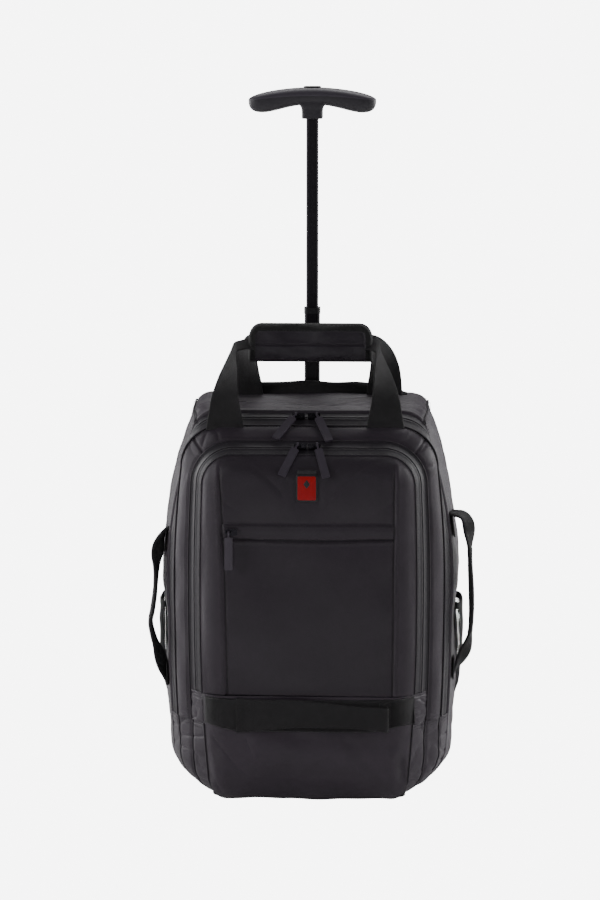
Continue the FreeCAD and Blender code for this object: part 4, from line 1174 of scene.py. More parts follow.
    def back(self) -> None:
        """Padded back panel with quilted channels."""
        loop = evenly(FORM.loop(4.0, 1.6), 641, 2)[:-1]
        right = np.array(FORM.corner(4.0, True, 1.6))
        low = np.array(FORM.corner(4.0, False, 1.6))
        marks = [int(np.argmin(np.linalg.norm(loop - p, axis=1))) for p in
                 (low, right, right * [-1, 1], low * [-1, 1])]
        side = evenly(loop[marks[0]:marks[1] + 1], 200, 2)
        top = evenly(loop[marks[1]:marks[2] + 1], 150, 2)[::-1]
        under = np.vstack([loop[marks[3]:], loop[:marks[0] + 1]])
        flat = coons(evenly(under, 150, 2), top, side * [-1, 1], side)
        edge = np.min(np.linalg.norm(flat[:, :, None] - loop[None, None, ::4], axis=-1), axis=2)
        x, z = flat[..., 0], flat[..., 1]
        rim = 1 - (1 - np.clip(edge / 9, 0, 1)) ** 2.4
        pads = np.zeros_like(x)
        for low_z, high_z in ((92, 170), (178, 262), (270, 354), (362, 446), (454, 516)):
            for centre in (-84, 84):
                across = np.clip(1 - (np.abs(x - centre) / 62) ** 6, 0, 1)
                upright = np.clip(1 - (np.abs(z - (low_z + high_z) / 2) / ((high_z - low_z) / 2)) ** 6, 0, 1)
                pads = np.maximum(pads, (across * upright) ** 0.45)
        soft = 0.5 * crumple(np.stack([x, x * 0, z], -1), (70, 70, 70), 21)
        depth = 6.5 - 6.0 * rim - 4.5 * pads - soft * pads
        points = np.stack([x, FORM.y(depth), z], -1)
        normals = grid_normals(points)
        flip = float(normals[..., 1].sum()) < 0
        piece = new_piece("padded_back", points, grid_faces(*x.shape, flip=flip),
                          [self.finishes.body, self.finishes.lining],
                          np.stack([x, z], -1) * MM)
        near, far, top_z = self.wheel_slot
        drop_points(piece, lambda v: near < abs(v.co.x) < far and v.co.z < top_z)
        thicken(piece, 5.0, 1)
        set_down(piece, "case", ("back_panel",))
        outside = evenly(FORM.loop(8.0, -0.6), 641, 2)[:-1]
        open_side = outside[(outside[:, 1] > 76) | (np.abs(outside[:, 0]) < 106)]
        start = int(np.argmax(np.linalg.norm(np.diff(open_side, axis=0, append=open_side[:1]), axis=1))) + 1
        open_side = np.roll(open_side, -start, axis=0)
        gaps = np.flatnonzero(np.linalg.norm(np.diff(open_side, axis=0), axis=1) > 10)
        for part in np.split(open_side, gaps + 1):
            if len(part) > 4:
                self.seams.piping("case",
                                  np.stack([part[:, 0], np.full(len(part), FORM.y(8.0)), part[:, 1]], 1))

    def port_guard(self) -> None:
        """Black folded band in front of the pole's port."""
        x = np.linspace(-131, 131, 180)
        share = np.abs(x) / 131
        crest = 555.5 + 2.0 * np.cos(x / 131 * math.pi) - 11 * smoothstep(share, 0.82, 1.0)
        rows = []
        for s in np.linspace(0, 1, 22):
            turn = math.pi * s
            t = 43.0 - 3.4 * math.cos(turn) + 5.0 * (1 - math.sin(turn)) * (s > 0.5)
            z = 530.0 + (crest - 530.0) * math.sin(turn) ** 0.45
            rows.append(np.stack([x, np.full_like(x, FORM.y(t)), z if s else np.full_like(x, 530.0)], 1))
        points = np.array(rows)
        points[..., 2] += 0.8 * crumple(points, (60, 30, 60), 31) * (points[..., 2] > 540)
        points[..., 1] += 0.6 * crumple(points, (45, 30, 30), 32)
        normals = grid_normals(points)
        flip = float((normals * (points - points.mean((0, 1)))).sum()) < 0
        faces = grid_faces(*points.shape[:2], flip=flip)
        rim = points.shape[1]
        for j, turned in ((0, flip), (rim - 1, not flip)):
            loop = tuple(i * rim + j for i in range(len(points)))
            faces.append(loop if turned else loop[::-1])
        piece = new_piece("pole_port_guard", points, faces, [self.finishes.binding],
                          np.stack([points[..., 0], points[..., 2]], -1) * MM)
        set_down(piece, "case", ("handle_port_guard",))


@dataclass
class Lid:
    """The folding front of the main compartment."""

    finishes: Finishes
    seams: Seams

    def build(self) -> None:
        """Builds the panels that ride on the lid."""
        self.zip_tape()
        self.gusset()
        self.front_tape()
        self.low_sides()

    def zip_tape(self) -> None:
        """Lid half of the main zip."""
        panel = Panel("main_zip_tape_front", "main_lid", (133.4, 146), LID_Z + 0.4, True,
                      ("main_zip_tape_lid",), "zip_tape",
                      2.0, 12, 620, None)

        def relief(depth: Grid, share: Grid, points: Grid) -> Grid:
            """Flat tape with a rolled lip."""
            return (-1.1 * smoothstep(-depth, -146, -143) + 0.9 * bump(depth, 134.6, 1.6)
                    + 0.35 * np.sin((depth - 133) / 13 * math.pi))

        _, points, normals = panel.build([self.finishes.tape], relief)
        self.seams.stitch("main_lid", points[-3] + normals[-3] * 0.3, normals[-3])
        self.seams.zip_edge("main_lid", points[0] - normals[0] * 1.6, normals[0])
        self.seams.piping("main_lid", FORM.ring([146.0], 620, LID_Z + 0.4, True)[0] + normals[-1] * 0.6)

    def gusset(self) -> None:
        """Puffed gusset with a mitre seam across each upper corner."""
        panel = Panel("lid_gusset_pad", "main_lid", (146, 168), LID_Z + 0.4, True,
                      ("lid_gusset", "divider_panel"), "body_fabric",
                      3.0, 18, 760, 0.6, Stuffing(2.6, -0.03, 5.0))

        def relief(depth: Grid, share: Grid, points: Grid) -> Grid:
            """Padding, soft creases and the mitre."""
            across = (depth - 146) / 22
            puff = 2.6 * np.clip(np.sin(math.pi * np.clip(across, 0, 1)), 0, 1) ** 0.7
            corner = line_distance(points, lambda t: FORM.corner(t, True), depth)
            mitre = bump(corner, 0, 1.7)
            soft = 0.9 * crumple(points, (55, 60, 70), 41) * np.sin(math.pi * np.clip(across, 0, 1))
            crease = folds(points, (30, 60, 42), 42) * bump(corner, 0, 42)
            bars = bump(points[..., 2], 113.0, 1.0) + bump(points[..., 2], 117.5, 1.0)
            return (puff + soft - 1.5 * crease * across * (1 - across) * 4 - 2.0 * mitre - 0.6 * bars
                    - 1.2 * bump(depth, 146, 1.6) - 1.6 * bump(depth, 168, 1.6))

        _, points, normals = panel.build([self.finishes.body, self.finishes.lining], relief)
        self.seams.piping("main_lid", FORM.ring([168.0], 700, LID_Z + 0.4, True)[0])
        self.seams.stitch("main_lid", points[2] + normals[2] * 0.4, normals[2])
        self.seams.stitch("main_lid", points[-4] + normals[-4] * 0.4, normals[-4])
        board = FORM.cut(168, LID_Z + 0.4, True, 4.2)
        outline = evenly(board, 160, 2)
        both = np.vstack([np.stack([outline[:, 0], np.full(160, FORM.y(t)), outline[:, 1]], 1)
                          for t in (168.3, 170.7)])
        faces = [tuple(reversed(range(160))), tuple(range(160, 320))]
        faces += [(j, (j + 1) % 160, 160 + (j + 1) % 160, 160 + j) for j in range(160)]
        wall = new_piece("divider_wall", both, faces, [self.finishes.lining])
        face_outwards(wall)
        wall.data.polygons.foreach_set("use_smooth", [False] * len(wall.data.polygons))
        set_down(wall, "main_lid")

    def front_tape(self) -> None:
        """Lid half of the front compartment's zip."""
        panel = Panel("front_zip_tape_rear", "main_lid", (168, 178.6), FLAP_Z, True, ("front_zip_tape_lid",),
                      "zip_tape",
                      2.0, 12, 560, None)

        def relief(depth: Grid, share: Grid, points: Grid) -> Grid:
            """Flat tape with a rolled lip."""
            return -0.8 * smoothstep(depth, 168, 171) + 0.7 * bump(depth, 177.6, 1.3)

        _, points, normals = panel.build([self.finishes.tape], relief)
        self.seams.zip_edge("main_lid", points[-1] - normals[-1] * 1.6, normals[-1])
        self.seams.stitch("main_lid", points[3] + normals[3] * 0.3, normals[3])

    def low_sides(self) -> None:
        """Gusset below the front zip's ends, between the two folds."""
        for sign, name in ((1, "right"), (-1, "left")):
            depths = np.linspace(168, 190, 20)
            rows = []
            for t in depths:
                line = FORM.cut(float(t), LID_Z + 0.4, True)
                side = line[: len(line) // 2]
                side = side[side[:, 1] <= FLAP_Z + 0.2]
                side = evenly(np.vstack([side, side[-1:] * [1, 0] + [0, FLAP_Z]]), 44, 2)
                rows.append(np.stack([sign * side[:, 0], np.full(44, FORM.y(t)), side[:, 1]], 1))
            points = np.array(rows)
            normals = grid_normals(points)
            flip = float((normals[..., 0] * sign).sum()) < 0
            normals = -normals if flip else normals
            depth = depths[:, None]
            height = 1.6 * np.sin(math.pi * (depth - 168) / 22) - 1.2 * folds(points, (40, 60, 16), 51 + sign)
            height = height - 0.7 * (bump(points[..., 2], 148.5, 1.0) + bump(points[..., 2], 144.0, 1.0))
            points = points + height[..., None] * normals
            piece = new_piece("front_gusset_foot_" + name, points, grid_faces(*points.shape[:2], flip=flip),
                              [self.finishes.body, self.finishes.lining], points[..., 1:] * MM)
            thicken(piece, 3.0, 1)
            set_down(piece, "main_lid", ())


@dataclass
class FrontPanel:
    """The front face: the flap's panel with its pocket, and the fold below it.

    Attributes:
        edge_t: depth of the panel's rim.
        crown: how far its middle stands ahead of the rim.
        reach: how far inside the rim the crown is full.
    """

    finishes: Finishes
    seams: Seams
    edge_t: float = 190.0
    crown: float = 16.0
    reach: float = 31.0
    welt_z: tuple[float, float] = (389.0, 369.5)

    def seam_x(self, z: Grid, sign: int) -> Grid:
        """X of the upright seam on one side, at a height."""
        if sign < 0:
            return -109.5 - 9.0 * np.clip((z - 152) / 300, 0, 1) ** 2
        return 114.0 + 1.5 * np.clip((z - 152) / 300, 0, 1)

    def patch(self, upper: bool, rows: int, columns: int) -> Grid:
        """Flat grid over the front outline above or below the flap's fold, as X and Z."""
        line = FORM.cut(self.edge_t, FLAP_Z + (0.3 if upper else -0.3), upper)
        corner = np.array(FORM.corner(self.edge_t, upper))
        marks = sorted(int(np.argmin(np.linalg.norm(line - c, axis=1))) for c in (corner, corner * [-1, 1]))
        first, middle, last = line[:marks[0] + 1], line[marks[0]:marks[1] + 1], line[marks[1]:]
        if upper:
            right, top, left = (evenly(first, rows, 2), evenly(middle, columns, 2)[::-1],
                                evenly(last, rows, 2)[::-1])
            bottom = np.linspace(left[0], right[0], columns)
            return coons(bottom, top, left, right)
        left, bottom, right = evenly(first, rows, 2)[::-1], evenly(middle, columns, 2), evenly(last, rows, 2)
        return coons(bottom, np.linspace(left[-1], right[-1], columns), left, right)

    def rim_distance(self, flat: Grid) -> Grid:
        """Distance of each point to the front outline."""
        loop = evenly(FORM.loop(self.edge_t), 500, 2)
        result = np.empty(flat.shape[:2])
        for i in range(len(flat)):
            result[i] = np.min(np.linalg.norm(flat[i][:, None] - loop[None], axis=-1), axis=1)
        return result

    def surface(self, flat: Grid) -> Grid:
        """Lifts a flat grid to the crowned front."""
        share = np.clip(self.rim_distance(flat) / self.reach, 0, 1)
        t = self.edge_t + self.crown * (1 - (1 - share) ** 2.2)
        return np.stack([flat[..., 0], FORM.y(t), flat[..., 1]], -1)

    def upper_panel(self) -> None:
        """The flap's panel: middle between the upright seams painted darker as painted shade, lighter sides,
        and the pocket welt.
        """
        coarse = self.surface(self.patch(True, 62, 58))
        x, z = coarse[..., 0], coarse[..., 2]
        pinned = np.zeros(x.shape, dtype=bool)
        pinned[[0, -1]] = True
        pinned[:, [0, -1]] = True
        for sign in (1, -1):
            pinned |= (np.abs(x - self.seam_x(z, sign)) < 2.7) & (z < 456)
        inner = (x > self.seam_x(z, -1)) & (x < self.seam_x(z, 1))
        for height in self.welt_z:
            pinned |= (np.abs(z - height) < 2.8) & inner
        pinned |= (np.abs(x + 1.5) < 16) & (np.abs(z - 440) < 24)
        shift = Stuffing(2.4, -0.022, 5.0).swell(coarse, pinned,
                                                 float(grid_normals(coarse)[..., 1].sum()) > 0)
        fine = self.surface(self.patch(True, 232, 208))
        fine = fine + refine(shift, 232, 208)
        x, z = fine[..., 0].copy(), fine[..., 2].copy()
        rim = self.rim_distance(fine[..., [0, 2]])
        inner = smoothstep(x - self.seam_x(z, -1), -0.6, 0.6) * smoothstep(self.seam_x(z, 1) - x, -0.6, 0.6)
        seam = bump(x, self.seam_x(z, -1), 1.5) + bump(x, self.seam_x(z, 1), 1.5)
        seam *= smoothstep(-z, -474, -440)
        ply = 1.0 * bump(x, self.seam_x(z, -1) - 4.5, 3.2) + 1.0 * bump(x, self.seam_x(z, 1) + 4.5, 3.2)
        high, low = self.welt_z
        sag = 2.0 * (1 - (x / 118) ** 2)
        welt = smoothstep(z, low - 0.4 - sag, low + 0.8 - sag) * smoothstep(-z, -high, -high + 2.5) * inner
        slot = bump(z, low - 1.2 - sag, 1.1) * inner
        lip = 0.7 * bump(z, low - 5.0 - sag, 2.2) * inner + 0.5 * bump(z, 0.5 * (high + low), 5.0) * inner
        soft = 1.5 * crumple(fine, (120, 80, 150), 61) + 0.2 * crumple(fine, (38, 40, 44), 62)
        slant = np.stack([np.abs(x) * 0.75 + z * 0.66, fine[..., 1], z * 0.75 - np.abs(x) * 0.66], -1)
        drape = 1.1 * folds(slant, (150, 90, 62),
                            63) * smoothstep(z, 392, 440) * inner * smoothstep(np.abs(x + 1.5), 18, 34)
        height = (soft + 1.8 * welt - 2.0 * slot + lip - 2.0 * seam + ply - drape
                  - 0.8 * bump(z, high, 1.3) * inner) * smoothstep(rim, 0, 8) - 0.9 * bump(rim, 0, 2.0)
        calm = 1 - np.exp(-((x + 1.5) / 30) ** 4 - ((z - 446) / 40) ** 4)
        height = np.where(height > 0, height * calm, height)
        points = fine + np.stack([x * 0, -height, x * 0], -1)
        normals = grid_normals(points)
        flip = float(normals[..., 1].sum()) > 0
        normals = -normals if flip else normals
        # painted shade: the middle between the upright seams, the pocket welt's slot and the seam grooves are
        # painted darker
        shade = 0.22 * inner + 0.5 * slot + 0.25 * seam
        piece = new_piece("front_panel_pad", points, grid_faces(*x.shape, flip=flip),
                          [self.finishes.body, self.finishes.lining], np.stack([x, z], -1) * MM, shade)
        thicken(piece, 2.5, 1)
        set_down(piece, "front_flap", ("front_panel",))
        self.panel_stitches(points, normals)
        edge = FORM.ring([190.0], 640, FLAP_Z + 0.4, True)[0]
        self.seams.piping("front_flap", edge)

    def panel_stitches(self, points: Grid, normals: Grid) -> None:
        """Stitches beside the upright seams and round the pocket welt."""
        x, z = points[..., 0], points[..., 2]
        for sign in (1, -1):
            for offset in (3.6, 6.6):
                wanted = self.seam_x(z, sign) + sign * offset
                columns = np.argmin(np.abs(x - wanted), axis=1)
                keep = [i for i in range(len(z)) if z[i, columns[i]] < 447]
                path = np.array([points[i, columns[i]] + normals[i, columns[i]] * 0.35 for i in keep])
                self.seams.stitch("front_flap", path, np.array([normals[i, columns[i]] for i in keep]))
        for height, drop in ((self.welt_z[0] - 3.2, 0.0), (self.welt_z[1] - 4.5, 2.0)):
            columns = [j for j in range(x.shape[1]) if -112 < x[190, j] < 111]
            rows = [int(np.argmin(np.abs(z[:, j] - height + drop * (1 - (x[190, j] / 118) ** 2))))
                    for j in columns]
            path = np.array([points[i, j] + normals[i, j] * 0.35 for i, j in zip(rows, columns)])
            path = evenly(path, 90)
            self.seams.stitch("front_flap", path, np.tile([0, -1.0, 0], (90, 1)))

    def flap_tape(self) -> None:
        """Flap half of the front zip."""
        panel = Panel("front_zip_tape_front", "front_flap", (179.4, 190), FLAP_Z + 0.4, True,
                      ("front_zip_tape_flap",), "zip_tape",
                      2.0, 12, 560, None)

        def relief(depth: Grid, share: Grid, points: Grid) -> Grid:
            """Flat tape with a rolled lip."""
            return -0.8 * smoothstep(-depth, -190, -187) + 0.7 * bump(depth, 180.4, 1.3)

        _, points, normals = panel.build([self.finishes.tape], relief)
        self.seams.zip_edge("front_flap", points[0] - normals[0] * 1.6, normals[0])
        self.seams.stitch("front_flap", points[-4] + normals[-4] * 0.3, normals[-4])

    def lower_panel(self) -> None:
        """Front face below the flap, one cloth over the lid's fold."""
        coarse = self.surface(self.patch(False, 34, 62))
        pinned = np.zeros(coarse.shape[:2], dtype=bool)
        pinned[[0, -1]] = True
        pinned[:, [0, -1]] = True
        pinned |= coarse[..., 2] > 100
        shift = Stuffing(3.0, -0.03, 7.0).swell(coarse, pinned, float(grid_normals(coarse)[..., 1].sum()) > 0)
        fine = self.surface(self.patch(False, 150, 280)) + refine(shift, 150, 280)
        x, z = fine[..., 0], fine[..., 2]
        rim = self.rim_distance(fine[..., [0, 2]])
        free = smoothstep(-z, -104, -88) * smoothstep(rim, 1, 14)
        slanted = np.stack([x * 0.8 + z * 0.6, fine[..., 1], z * 0.8 - x * 0.6], -1)
        pulls = folds(slanted, (44, 200, 210), 71) * smoothstep(x, 40, 110)
        soft = 1.3 * crumple(fine, (80, 80, 60), 72) + 0.4 * crumple(fine, (28, 40, 22), 73)
        height = free * (soft - 6.0 * pulls
                         - 1.2 * folds(slanted, (60, 200, 190),
                                       74) * smoothstep(-x, 20, 110)) - 1.2 * bump(rim, 0, 2.2)
        hang = smoothstep(-z, -46, -10) * (6.0 + 0.9 * np.sin(x / 23 + 1.0) + 0.4 * np.sin(x / 9))
        points = fine + np.stack([x * 0, -height, -hang], -1)
        points[..., 2] = np.maximum(points[..., 2], 1.0)
        normals = grid_normals(points)
        flip = float(normals[..., 1].sum()) > 0
        # painted shade in the diagonal creases and along the rim, and painted light over the whole foot,
        # carried by the shade attribute
        piece = new_piece("front_panel_foot", points, grid_faces(*x.shape, flip=flip),
                          [self.finishes.body, self.finishes.lining], np.stack([x, z], -1) * MM,
                          0.5 * free * pulls - 0.1 + 0.5 * bump(rim, 0, 3.0))
        thicken(piece, 2.5, 1)
        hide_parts("apron_panel")
        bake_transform(piece)
        log.info("piece %s over the lid fold", piece.name)
        edge = FORM.cut(190, LID_Z - 0.4, False)
        edge = evenly(edge, 300, 2)
        self.seams.piping("case", np.stack([edge[:, 0], np.full(300, FORM.y(190)), edge[:, 1]], 1))


# ---------------------------------------------------------------- webbing, wrap and nets
@dataclass
class CarryHandles:
    """The two webbing loops on top and the padded wrap that holds them together."""

    finishes: Finishes
    seams: Seams
    wrap_half: float = 83.0
    wrap_z: tuple[float, float] = (592.0, 645.0)
    wrap_t: float = 97.0
    thick: float = 15.0

    def build(self) -> None:
        """Builds both loops and both halves of the wrap."""
        self.loop("front_carry_loop", "main_lid", "front_carry_strap", (-5.5, 5.5), (
            (108, 150.5, 506, 26, 0, 0), (108, 149, 530, 25.5, 0, 0), (107.6, 146, 551, 24.3, 2, 0),
            (104.5, 138, 572, 20, 7, 1), (100.5, 128, 589, 14.5, 12, 2), (97.4, 117, 604, 8.6, 15, 3),
            (95.5, 109, 613, 4, 14.5, 4),
            (89, 105, 615.5, 1, 10, 5), (82, 103.5, 617, 0, 6, 8), (72, 103.5, 618, 0, 2, 11),
            (60, 103.5, 619, 0, 0, 12), (40, 103.5, 619, 0, 0, 13)), 103.5)
        self.loop("rear_carry_loop", "case", "rear_carry_strap", (4.5, -4.5), (
            (95.5, 52, 533, 25, 0, 0), (95.5, 53, 558, 25, 0, 0), (95, 57, 576, 24.5, 2, 1),
            (92, 65, 594, 22, 8, 4), (88, 77, 607, 16, 12, 7), (83, 87, 615, 8, 10, 9),
            (74, 91, 618, 0, 5, 12), (62, 91.5, 619, 0, 0, 13), (40, 91.5, 619, 0, 0, 13)), 91.5)
        self.wrap(True)
        self.wrap(False)

    def loop(self, name: str, body: str, node: str, feet: tuple[float, float],
             route: Sequence[tuple[float, ...]],
             run_t: float) -> None:
        """One webbing loop: two legs that twist on their way into the wrap, and the run inside it.

        Args:
            name: piece name.
            body: CAD body.
            node: CAD node that it replaces.
            feet: how far each leg's middle line is moved outwards, right and left.
            route: middle line of the right leg as X, depth and Z, then the half-width vector.
            run_t: depth of the run inside the wrap.
        """
        parts = []
        data = np.array(route)
        for sign, shift in ((1, feet[0]), (-1, feet[1])):
            own = data.copy()
            own[:, 0] += shift * smoothstep(own[:, 0], 76, 92)
            path = curve_through([tuple(row[:3]) for row in own], 130)
            wide = curve_through([tuple(row[3:]) for row in own], 130)
            points = np.stack([sign * path[:, 0], FORM.y(path[:, 1]), path[:, 2]], 1)
            across = np.stack([sign * wide[:, 0], wide[:, 1], wide[:, 2]], 1)
            parts.append(Strap().make("%s_leg" % name, points, across if sign > 0 else -across,
                                      self.finishes.webbing))
            facing = -1.0 if run_t > self.wrap_t else 1.0
            for height in (9.0, 12.0, 24.0):
                line = np.linspace(-21, 21, 24)
                row = int(np.argmin(np.abs(points[:, 2] - points[0, 2] - height)))
                spread = points[row] + across[row] / 25 * line[:, None] + np.array([0, facing * 1.6, 0])
                self.seams.stitch(body, spread, np.tile([0, facing, 0.2], (24, 1)))
        x = np.linspace(-41, 41, 20)
        path = np.stack([x, np.full(20, FORM.y(run_t)), np.full(20, 619.0)], 1)
        parts.append(Strap().make(name + "_run", path, np.tile([0, 0, 14.0], (20, 1)), self.finishes.webbing))
        set_down(joined(name, parts), body, (node,))

    def wrap(self, front: bool) -> None:
        """One half of the padded wrap with its bound edge.

        Args:
            front: the half on the front loop.
        """
        sign = 1 if front else -1
        columns, rows = 150, 56
        low, high = self.wrap_z
        v = np.linspace(0, 1, rows)[:, None]
        u = np.linspace(-1, 1, columns)[None]
        z = low + (high - low) * v
        radius = 21.0
        cut = np.clip((z - (high - radius)) / radius, 0, 1)
        reach = self.wrap_half + 1.0 - radius * (1 - np.sqrt(1 - cut ** 2)) * (1.0 if front else 0.85)
        x = u * reach
        z = z + 0 * u
        upright = np.clip(1 - np.abs(2 * v - 1) ** 2.6, 0, 1) ** 0.5
        ends = np.clip(1 - np.abs(u) ** 14, 0, 1) ** 0.4
        puff = (self.thick - 1.0) * upright * (0.25 + 0.75 * ends)
        rim_distance = np.minimum(self.wrap_half - np.abs(x) - (self.wrap_half - reach) * 0.9, high - z)
        bound = smoothstep(-rim_distance, -10.5, -9.5)
        fold_z = 617.0
        groove = bump(z, fold_z, 1.3) * (rim_distance > 9)
        soft = 0.7 * crumple(np.stack([x, z * 0, z], -1), (60, 60, 30), 81 + sign)
        height = puff + 0.8 * bound - 2.4 * groove + soft * ends * upright
        base = self.wrap_t + 0.35 * sign
        pinned = np.zeros(x.shape, dtype=bool)
        pinned[[0, -1]] = True
        pinned[:, [0, -1]] = True
        pinned |= np.abs(z - fold_z) < 1.2
        outer = np.stack([x, FORM.y(base + sign * np.maximum(height, 0.5)), z], -1)
        away = float(grid_normals(outer)[..., 1].sum()) * sign > 0
        outer = outer + Stuffing(2.0, -0.03, 2.5, 14).swell(outer, pinned, away)
        inner = np.stack([x, np.full_like(x, FORM.y(base)), z], -1)
        count = rows * columns
        points = np.concatenate([outer.reshape(-1, 3), inner.reshape(-1, 3)])
        faces = grid_faces(rows, columns, flip=away)
        faces += [tuple(k + count for k in f[::-1]) for f in faces]
        edge = ([j for j in range(columns)] + [i * columns + columns - 1 for i in range(1, rows)]
                + [(rows - 1) * columns + j for j in range(columns - 2, -1, -1)]
                + [i * columns for i in range(rows - 2, 0, -1)])
        faces += [(a, b, b + count, a + count) for a, b in zip(edge, edge[1:] + edge[:1])]
        uv = np.tile(np.stack([x, z], -1).reshape(-1, 2) * MM, (2, 1))
        # the wrap's outside takes the painted-shade copy of the body cloth
        piece = new_piece("wrap_front_half" if front else "wrap_rear_half", points, faces,
                          [self.finishes.front, self.finishes.binding], uv)
        face_outwards(piece)
        flags = np.concatenate([(bound > 0.5).ravel(), np.ones(count, dtype=bool)])
        for polygon in piece.data.polygons:
            polygon.material_index = int(sum(flags[k] for k in polygon.vertices) > 2)
        set_down(piece, "main_lid" if front else "case",
                 ("front_wrap_flap",) if front else ("rear_wrap_pad",))
        if front:
            inside = 0.5 * (9.0 + 8.2)
            line = [(-(self.wrap_half - inside), 597.0), (-(self.wrap_half - inside), 620.0), (-66.0, 634.0),
                    (-56.0, 636.6),
                    (56.0, 636.6), (66.0, 634.0), (self.wrap_half - inside, 620.0),
                    (self.wrap_half - inside, 597.0)]
            path = evenly(np.array(line), 90, 2)
            tree_x, tree_z = outer[..., 0].ravel(), outer[..., 2].ravel()
            depth = [outer[..., 1].ravel()[np.argmin(np.hypot(tree_x - px, tree_z - pz))] for px, pz in path]
            self.seams.stitch("main_lid", np.stack([path[:, 0], np.array(depth) - 0.35, path[:, 1]], 1),
                              np.tile([0, -1.0, 0], (90, 1)))


@dataclass
class SideHandles:
    """Webbing handles on both sides, gathered at their lower ends."""

    finishes: Finishes
    seams: Seams
    t: float = 104.0

    def build(self) -> None:
        """Builds both handles."""
        right = [(184, 389), (196, 386), (208, 383), (215, 373), (217.5, 356), (218, 338), (219, 310),
                 (220.5, 280), (221, 250),
                 (219.5, 222), (215, 200), (208, 184), (201, 171), (195, 160)]
        left = [(184, 366), (193, 364), (201, 357), (207, 344), (210, 324), (211.5, 298), (213.5, 272),
                (217, 248), (220, 230),
                (215.5, 208), (208, 186), (202, 166), (196, 148)]
        self.handle("side_webbing_right", 1, right, "side_handle_right")
        self.handle("side_webbing_left", -1, left, "side_handle_left")

    def handle(self, name: str, sign: int, profile: Sequence[tuple[float, float]], node: str) -> None:
        """One handle.

        Args:
            name: piece name.
            sign: side.
            profile: X and Z of its middle line.
            node: CAD node that it replaces.
        """
        line = curve_through(profile, 150)
        along = np.linspace(0, 1, 150)
        sway = 1.6 * np.sin(along * 9 + sign)
        path = np.stack([sign * line[:, 0], FORM.y(self.t + sway), line[:, 1]], 1)
        tangent = np.gradient(path, axis=0)
        tangent /= np.linalg.norm(tangent, axis=1)[:, None]
        upper, lower = (0.17, 0.86) if sign > 0 else (0.2, 0.87)
        half = 12.5 - 2.0 * bump(along, upper, 0.1) - 3.0 * bump(along, lower, 0.1)
        twist = 0.75 * bump(along, upper, 0.075) + 0.85 * bump(along, lower, 0.075) + 0.1 * np.sin(along * 9)
        sideways = np.cross(tangent, np.array([0.0, 1.0, 0.0]))
        across = (sideways * (np.sin(twist) * half)[:, None]
                  + np.array([0, 1.0, 0]) * (np.cos(twist) * half)[:, None])
        strap = Strap(thickness=4.2).make(name + "_band", path, across * sign, self.finishes.webbing)
        grip = slice(44, 112)
        sleeve = Strap(thickness=6.0, rib=2.2, relief=0.3).make(
            name + "_sleeve", path[grip], across[grip] * sign * 0.9, self.finishes.webbing)
        parts = [strap, sleeve]
        for z0, z1 in ((line[0, 1] - 6, line[0, 1] - 34), (line[-1, 1] - 4, line[-1, 1] + 26)):
            z = np.linspace(z0, z1, 16)
            reach = np.interp(z, *self.side_of_body())
            tab = np.stack([sign * (reach + 1.4), np.full(16, FORM.y(self.t)), z], 1)
            parts.append(Strap(thickness=1.6).make(name + "_tab", tab, np.tile([0, 14.0 * sign, 0], (16, 1)),
                                                   self.finishes.binding))
        set_down(joined(name, parts), "case", (node,))

    def side_of_body(self) -> tuple[Grid, Grid]:
        """Heights and half widths of the body at the handle's depth."""
        line = FORM.cut(self.t, 90.0, True)
        side = line[:len(line) // 3]
        return side[:, 1], side[:, 0]


@dataclass
class LowerBand:
    """Webbing band across the lower front, with the grab loop that stands off it."""

    finishes: Finishes
    seams: Seams
    front: FrontPanel

    def build(self) -> None:
        """Builds the band, the loop and their stitches."""
        x = np.linspace(-139.5, 143.5, 260)
        rows = np.linspace(0, 1, 26)
        top = 149.5 + 1.5 * smoothstep(np.abs(x), 60, 140) - 2.0 * np.cos(x / 150)
        low = 103.0 + 9.0 * smoothstep(np.abs(x + 5), 80, 140)
        z = low[None] + (top - low)[None] * rows[:, None]
        grid = self.front.surface(np.stack([x[None].repeat(26, 0), z], -1))
        edge = np.clip(np.minimum(rows, 1 - rows) * 30, 0, 1)[:, None] ** 0.5
        ribs = 0.22 * (0.5 + 0.5 * np.cos(rows * 2 * math.pi * 12))[:, None]
        rim = smoothstep(self.front.rim_distance(grid[..., [0, 2]]), 0, 6)
        height = (2.3 * edge + ribs + 0.5 * crumple(grid, (60, 40, 30), 91)) * rim
        grid[..., 1] -= height
        flip = float(grid_normals(grid)[..., 1].sum()) > 0
        uv = np.stack([z * MM, x[None].repeat(26, 0) * MM], -1)
        band = new_piece("lower_webbing_band", grid, grid_faces(*x[None].repeat(26, 0).shape, flip=flip),
                         [self.finishes.webbing], uv)
        thicken(band, 1.6)
        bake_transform(band)
        log.info("piece %s over the lid fold", band.name)
        path = curve_through([(-97, 207.6, 126), (-80, 208.6, 126), (-58, 210.5, 127), (-20, 214, 130),
                              (20, 217.2, 129),
                              (62, 218.6, 127), (96, 218.6, 124), (106, 218.4, 123), (108.5, 215.5, 123),
                              (106, 211.5, 124),
                              (96, 209.6, 127), (112, 209.6, 129)], 200)
        wide = curve_through([(0, 0, 24.0), (0, 0, 23.0), (0, 0.5, 20.5), (0, 3.0, 16.0), (0, 4.0, 14.5),
                              (0, 3.0, 15.0), (0, 2.0, 16.5),
                              (0, 1.5, 17), (0, 1, 17), (0, 0.5, 17), (0, 0, 17), (0, 0, 17)], 200)
        points = np.stack([path[:, 0], FORM.y(path[:, 1]), path[:, 2]], 1)
        loop = Strap().make("grab_loop", points, wide, self.finishes.webbing)
        set_down(loop, "main_lid", ("lower_grab_handle",))
        lines = []
        for px in (-94.0, -90.0, -64.0, 116.0, 120.0):
            heights = np.linspace(113, 142, 18)
            lines.append(self.front.surface(np.stack([np.full(18, px), heights], -1)[None])[0]
                         - np.array([0, 4.4 if px < 0 else 3.2, 0]))
        for line in lines:
            self.seams.stitch("main_lid", line, np.tile([0, -1.0, 0], (18, 1)))


